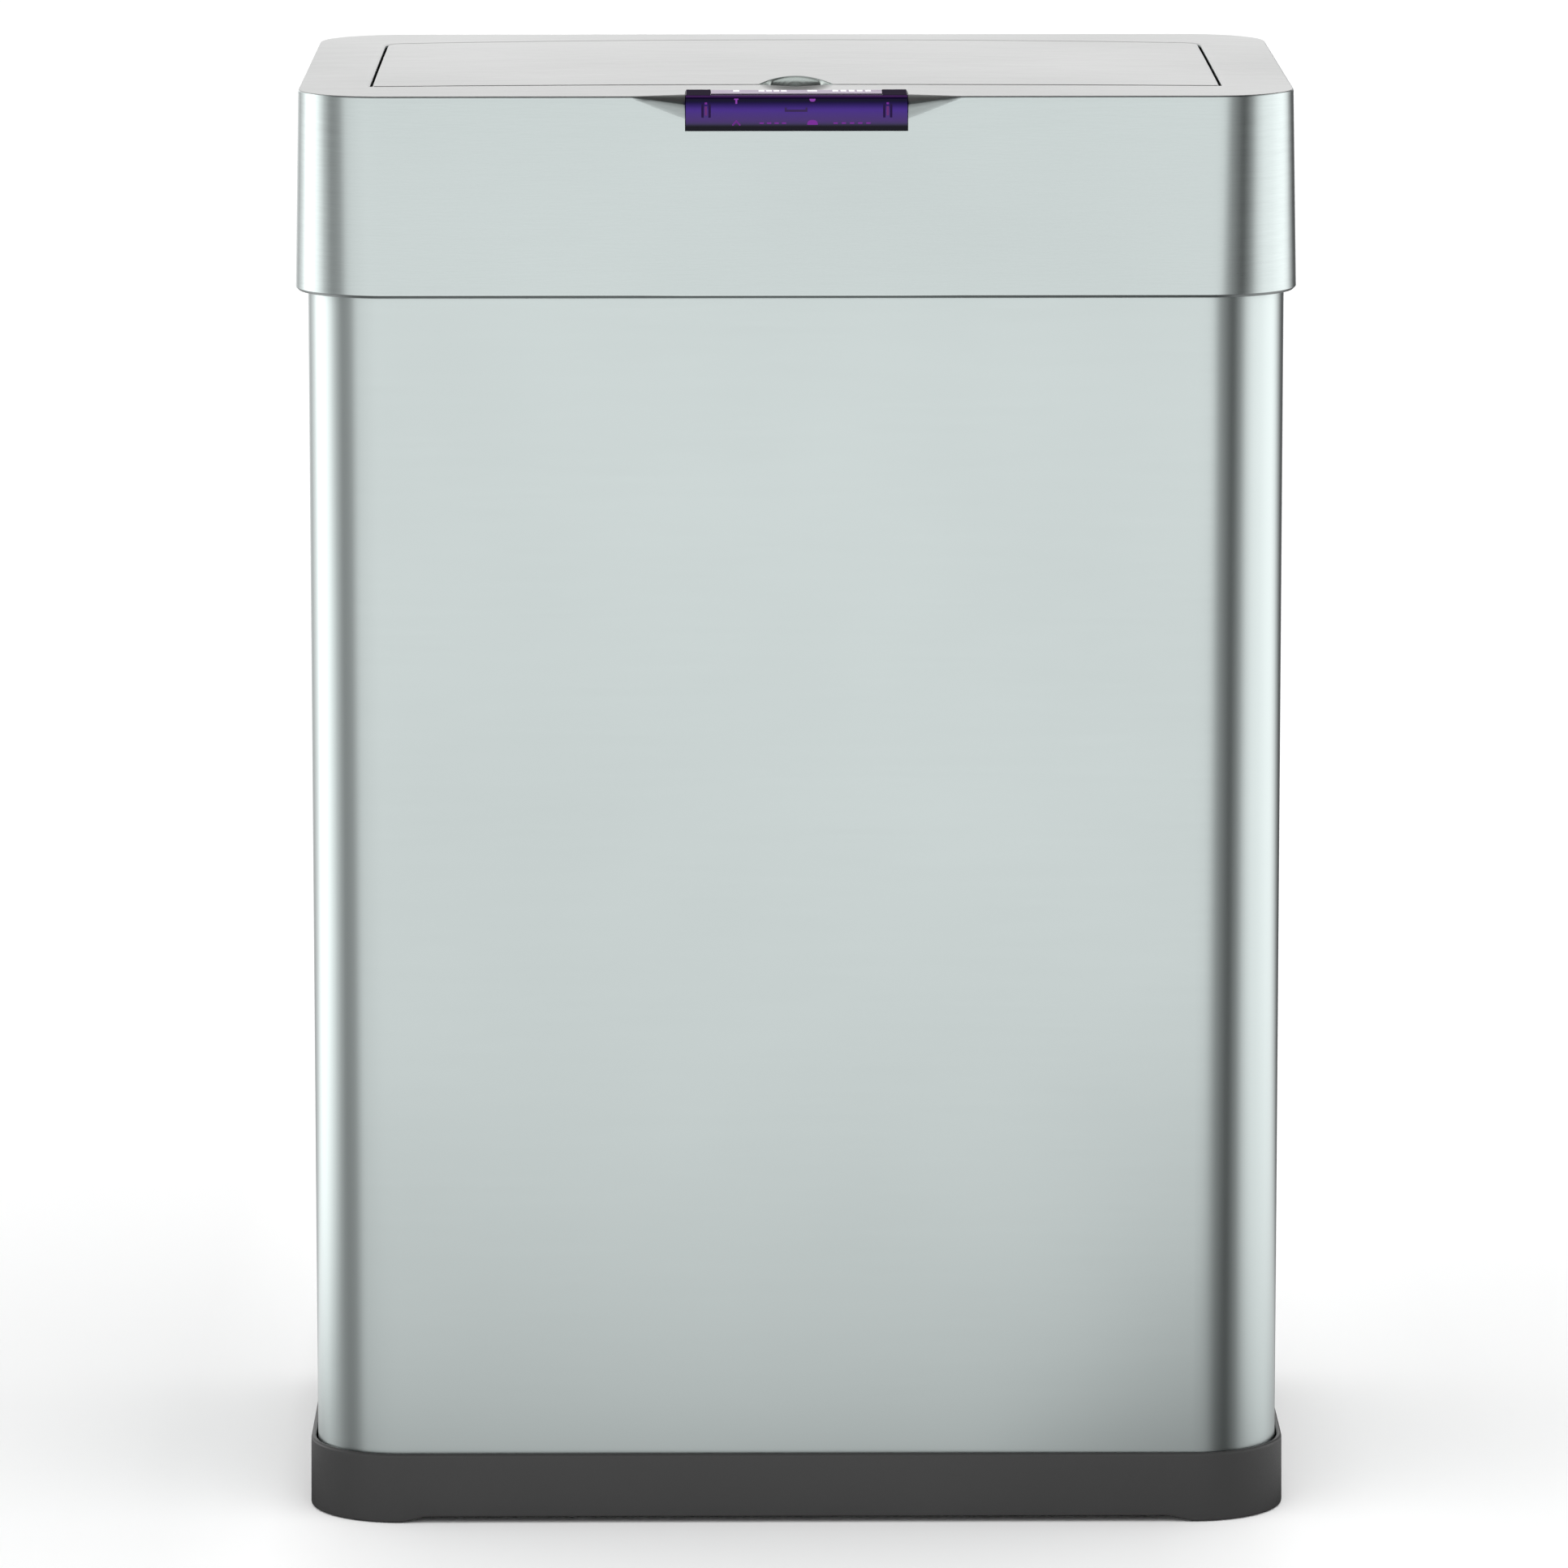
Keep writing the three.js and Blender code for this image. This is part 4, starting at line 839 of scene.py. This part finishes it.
def make_bag_ring():
    """Loose ring that holds the bag: a flange on the ledge and a skirt with a rounded lower lip."""
    low, top = RING_LOW[2], RING_HIGH[2]
    flange, out = LEDGE["z"] + 0.3, LEDGE["inner"] + 0.8
    profile = [(out + 0.5, low), (out, low + 0.5), (out, flange), (5.3, flange), (5.0, flange + 0.3),
               (5.0, top - 0.5), (5.5, top), (out + 0.9, top), (out + 1.6, top - 0.3), (out + 2, top - 1.2),
               (out + 2, low + 0.5), (out + 1.5, low)]
    verts, faces = skin([body_ring(z, inward) for inward, z in profile], True)
    ring = mesh_object("bag_ring_moulding", verts, faces, GREY_PLASTIC)
    return put(ring, "bag_ring", "grey_plastic", "bag_ring")


def arch(x, y):
    """Lift of the tray's lower edge between its corner feet."""
    along = smoothstep((ARCH["x"] - abs(x)) / ARCH["run"])
    aside = smoothstep((ARCH["y"] - abs(y)) / ARCH["run"])
    return ARCH["rise"] * (1 - (1 - along) * (1 - aside))


def make_tray():
    """Base tray with a round upper lip, a soft lower edge, and arches between its corners."""
    foot_z, top_z = TRAY_LOW[2], TRAY_HIGH[2]
    wall, floor_low, floor_high = (TRAY[k] for k in ("wall", "floor_low", "floor_high"))
    profile = [(8.0, floor_low), (3.2, floor_low), (2.8, foot_z + 0.2), (2.2, foot_z), (0.8, foot_z),
               (0.35, foot_z + 0.15), (0.1, foot_z + 0.45), (0.0, foot_z + 0.9)]
    profile += [(0.0, mix(foot_z + 0.9, top_z - 1.2, i / 5)) for i in range(1, 6)]
    profile += [(0.1, top_z - 0.7), (0.35, top_z - 0.25), (0.8, top_z), (wall - 0.6, top_z),
                (wall - 0.15, top_z - 0.2), (wall, top_z - 0.8), (wall, floor_high), (wall + 6, floor_high)]
    rings = []
    for inward, z in profile:
        t = (z - foot_z) / (top_z - foot_z)
        w, d, r = (mix(BASE_FOOT[k], BASE_TOP[k], t) - (2 * inward if k != "r" else inward) for k in "wdr")
        lift = max(0.0, 1 - (z - foot_z) / 20) if inward < 3 and z < floor_low + 20 else 0.0
        ring = []
        for x, y, _, _ in rounded_rect(w, d, r):
            ring.append((x, y, z + arch(x, y) * lift))
        rings.append(ring)
    verts, faces = capped(rings)
    tray = mesh_object("base_moulding", verts, faces, BASE_PLASTIC)
    return put(tray, "bin", "base_plastic", "base_tray")


# ------------------------------------------------------------------ sensor bar
def boxes(name, rows, material, bevel=0.0):
    """One object made of many small boxes, each (x0, x1, y0, y1, z0, z1)."""
    verts, faces = [], []
    for row in rows:
        corners, sides = box_verts(*row)
        faces += [tuple(i + len(verts) for i in side) for side in sides]
        verts += corners
    made = mesh_object(name, verts, faces, material, smooth=False)
    if bevel:
        rounding = made.modifiers.new("rounding", "BEVEL")
        rounding.width = bevel * MM
        rounding.segments = 3
        soften(made, 40)
    return made


def make_window():
    """Violet window: its front face turns over a round edge into the top."""
    y0, y1, z0, z1 = BAR_LOW[1], BAR_HIGH[1], BAR_LOW[2] - WINDOW["drop"], BAR_HIGH[2]
    r = WINDOW["round"]
    profile = [(y1, z0), (y1, z1)]
    for i in range(9):
        a = math.radians(90 * i / 8)
        profile.append((y0 + r * (1 - math.sin(a)), z1 - r * (1 - math.cos(a))))
    profile += [(y0, mix(z1 - r, z0 + 0.4, i / 4)) for i in range(1, 5)] + [(y0 + 0.4, z0)]
    stations = (BAR_LOW[0], -STRIP_HIGH[0], 0, STRIP_HIGH[0], BAR_HIGH[0])
    rings = [[(x, y, z) for y, z in profile] for x in stations]
    verts, faces = capped(rings)
    window = mesh_object("sensor_bar_window", verts, faces, VIOLET)
    return put(window, "head", "violet_window", "sensor_window")


# What shows in the bar, by x. The marks are generic: dashes, an arrow and a dome.
POST_X = (-39.0, -36.1, 36.4, 39.2)
GLINT_X = (-37.6, 37.8)
DASH_X = (-14.5, -11.4, -8.3, -5.2, 16.2, 19.6, 23.0, 26.4, 29.8)
ARROW_X = -25.0
DOME_X = 6.6
DOME_SLICES = 5


def inlay(x0, x1, low, high):
    """A box let into the window's face; low and high are depths below the bar's top."""
    return x0, x1, BAR_LOW[1] - 0.04, BAR_LOW[1] + 0.3, BAR_HIGH[2] - low, BAR_HIGH[2] - high


def dome_slice(k, half_width, depth, height):
    """Slice k of a half disc that stands on the given depth; a negative height hangs from it."""
    low, high = (depth - height * math.sin(math.radians(18 * n)) for n in (k, k + 1))
    half = half_width * math.cos(math.radians(18 * k))
    return inlay(DOME_X - half, DOME_X + half, max(low, high), min(low, high))


def make_bar_details():
    """Touch strip, end caps and what shows through the window: posts, bracket and lit marks, with painted
    reflections of the marks and dim painted glints on the posts.
    """
    strip_z = STRIP_HIGH[2] - STRIP_DROP
    film = (STRIP_LOW[0], STRIP_HIGH[0], STRIP_LOW[1], STRIP_HIGH[1], BAR_HIGH[2] + 0.05, strip_z)
    put(boxes("touch_strip_film", [film], TOUCH_GLOSS, 0.15), "head", "touch_gloss", "touch_strip")
    caps = []
    for side in (-1, 1):
        x0, x1 = sorted((side * (STRIP_HIGH[0] + CAP["gap"]), side * (BAR_HIGH[0] - CAP["side"])))
        caps.append((x0, x1, BAR_LOW[1] + CAP["front"], BAR_HIGH[1] - CAP["side"],
                     BAR_HIGH[2] - 0.2, BAR_HIGH[2] + CAP["above"]))
    put(boxes("bar_end_caps", caps, END_CAP, 0.3), "head", "black_plastic")

    posts = [inlay(x - 0.5, x + 0.5, 9.3, 3.6) for x in POST_X]
    put(boxes("bar_post_shadows", posts, SHADOW), "head", "black_plastic")
    bracket = [inlay(-4.9, 4.5, 6.9, 6.0), inlay(-4.9, -4.1, 6.0, 5.1), inlay(3.7, 4.5, 6.0, 5.1)]
    put(boxes("bar_bracket", bracket, BRACKET), "head", "black_plastic")
    pink = [inlay(x - 0.5, x + 0.5, 8.4, 4.6) for x in GLINT_X]
    put(boxes("bar_post_glints", pink, DULL_PINK), "head", "violet_window")

    lit = [inlay(ARROW_X - 0.9, ARROW_X + 0.9, 1.9, 1.4), inlay(ARROW_X - 0.4, ARROW_X + 0.4, 3.6, 1.9)]
    lit += [dome_slice(k, 1.25, 1.5, -1.2) for k in range(DOME_SLICES)]
    put(boxes("bar_lit_marks", lit, MAGENTA), "head", "indicator_light")

    # Painted reflections of the lit marks and the dashes lower in the window, and dim painted glints on the
    # posts.
    painted_reflections = [inlay(x - 0.5, x + 0.5, 3.8, 3.0) for x in GLINT_X]
    for k in range(DOME_SLICES):
        painted_reflections.append(dome_slice(k, 2.2, 12.3, 2.0))
        for side in (-1, 1):
            x = ARROW_X + side * 0.35 * k
            painted_reflections.append(inlay(x - 0.3, x + 0.3, 11 + 0.4 * k, 10.4 + 0.4 * k))
    painted_reflections += [inlay(x - 0.9, x + 0.9, 11.9, 11.3) for x in DASH_X]
    put(boxes("bar_painted_reflections", painted_reflections, REFLECTED_MAGENTA), "head", "indicator_light")

    near, far = STRIP_HIGH[1] - 7.8, STRIP_HIGH[1] - 0.8
    flat = (near, far, strip_z - 0.1, strip_z + 0.05)
    marks = [(x - 1.2, x + 1.2, *flat) for x in DASH_X]
    marks += [(ARROW_X - 1.3, ARROW_X + 1.3, *flat), (DOME_X - 2.0, DOME_X + 2.0, *flat)]
    put(boxes("touch_marks", marks, MARK_WHITE), "head", "touch_gloss")


# ------------------------------------------------------------------ finishes of the CAD nodes
# The window's colour from its lower edge, 0, to its top, 1.
# The lighter stop just below the top, on the round edge, is a painted highlight.
WINDOW_TINT_AND_PAINTED_HIGHLIGHT = [
    (0.0, (0.005, 0.005, 0.009)), (0.12, (0.006, 0.005, 0.010)), (0.16, (0.023, 0.020, 0.042)),
    (0.21, (0.046, 0.030, 0.102)), (0.28, (0.056, 0.028, 0.134)), (0.48, (0.054, 0.026, 0.171)),
    (0.57, (0.053, 0.022, 0.200)), (0.62, (0.045, 0.018, 0.177)), (0.71, (0.022, 0.008, 0.101)),
    (0.79, (0.006, 0.001, 0.038)), (0.84, (0.002, 0.001, 0.016)), (0.93, (0.005, 0.002, 0.016)),
    (0.955, (0.040, 0.011, 0.070)), (1.0, (0.040, 0.018, 0.062)),
]


def violet_window():
    """Deep violet acrylic: nearly black at the top, clear violet below, a dark lower edge, with a painted
    highlight in the lighter line on the round top edge.
    """
    s = Shader("violet_acrylic_painted_highlight")
    height = s.remap(s.parts(s.place())[2], BAR_LOW[2] * MM, BAR_HIGH[2] * MM, 0, 1)
    s.link(s.colors(height, WINDOW_TINT_AND_PAINTED_HIGHLIGHT), s.bsdf.inputs["Base Color"])
    haze = s.noise(60.0, (1, 1, 6), detail=3.0)
    s.link(s.remap(haze, 0.3, 0.7, 0.06, 0.12), s.bsdf.inputs["Roughness"])
    s.set(Specular_IOR_Level=0.08)
    return s.material


def gloss(name, color, roughness, specular):
    """Smooth plastic with a faint haze."""
    s = Shader(name)
    haze = s.noise(90.0, detail=3.0)
    s.tint(color, haze, 0.05)
    s.link(s.remap(haze, 0.3, 0.7, roughness * 0.8, roughness * 1.2), s.bsdf.inputs["Roughness"])
    s.set(Specular_IOR_Level=specular)
    return s.material


def mirror_film(name, color, edge):
    """Half-mirrored film: it reflects weakly even at a grazing angle."""
    s = Shader(name)
    haze = s.noise(90.0, detail=3.0)
    s.tint(color, haze, 0.05)
    s.link(s.remap(haze, 0.3, 0.7, 0.10, 0.16), s.bsdf.inputs["Roughness"])
    s.set(Metallic=1.0, Specular_Tint=(*edge, 1))
    return s.material


def dress(material, *nodes):
    """Gives CAD nodes their finish, with small rounded edges."""
    for name in nodes:
        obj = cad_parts[name]
        obj.data.materials.clear()
        obj.data.materials.append(material)
        rounding = obj.modifiers.new("rounding", "BEVEL")
        rounding.width = 0.12 * MM
        rounding.segments = 2
        rounding.limit_method = "ANGLE"
        rounding.angle_limit = math.radians(40)
        soften(obj, 40)


VIOLET = violet_window()
TOUCH_GLOSS = mirror_film("touch_film", (0.20, 0.16, 0.23), (0.28, 0.22, 0.31))
END_CAP = gloss("end_cap", (0.026, 0.020, 0.034), 0.6, 0.0)
SHADOW = gloss("post_shadow", (0.020, 0.010, 0.050), 0.3, 0.0)
BRACKET = gloss("bracket_shadow", (0.038, 0.022, 0.075), 0.3, 0.0)
DULL_PINK = gloss("post_glint", (0.12, 0.03, 0.15), 0.3, 0.0)
# Dull magenta for the painted reflections and glints in the window.
REFLECTED_MAGENTA = gloss("painted_reflection_mark", (0.16, 0.02, 0.26), 0.3, 0.1)
MARK_WHITE = gloss("touch_mark", (0.9, 0.86, 0.92), 0.4, 0.5)
# The scoop's steel is darker and reflects less than the lid's: painted shade in the recess.
SCOOP_PAINTED_SHADE_STEEL = brushed_steel("brushed_scoop_painted_shade", (0.50, 0.54, 0.52), (0, 1, 0), (60, 900, 900), 0.03, 0.25,
                            edge=(0.60, 0.64, 0.63))

SIDES = ("left", "right")
dress(FOOT_RUBBER, *[f"foot_{end}_{side}" for end in ("front", "back") for side in SIDES])
dress(FOOT_RUBBER, *[f"lid_bumper_{side}" for side in SIDES])
dress(BLACK_PLASTIC, "head_chassis", "flap_liner", "sensor_housing", "rear_panel", "dc_jack",
      "battery_cover_left", "battery_cover_right")
dress(BASE_PLASTIC, "power_rocker")
dress(GREY_PLASTIC, "gearbox_case")
dress(NYLON, "sector_gear", "drive_pinion", "hinge_bush_left", "hinge_bush_right")
dress(ZINC, "drive_motor")
dress(ZINC, *[f"{name}_{side}" for name in ("hinge_pin", "sensor_screw", "rear_screw") for side in SIDES])
dress(ZINC, "gearbox_screw_front", "gearbox_screw_rear")
dress(SPRING, *[f"battery_{name}_{side}" for name in ("spring", "contact") for side in SIDES])
dress(CELL_CAN, *[f"d_cell_{side}_{place}" for side in SIDES for place in ("inner", "outer")])
dress(BOARD, "sensor_board", "main_board")
dress(VIOLET, "ir_emitter", "ir_receiver")
dress(MAGENTA, "open_light", "close_light")
dress(CABLE_SKIN, "sensor_cable")

make_body()
make_collar()
make_bag_ring()
make_tray()
make_skirt()
make_top_plate()
make_flap()
make_scoop()
make_window()
make_bar_details()
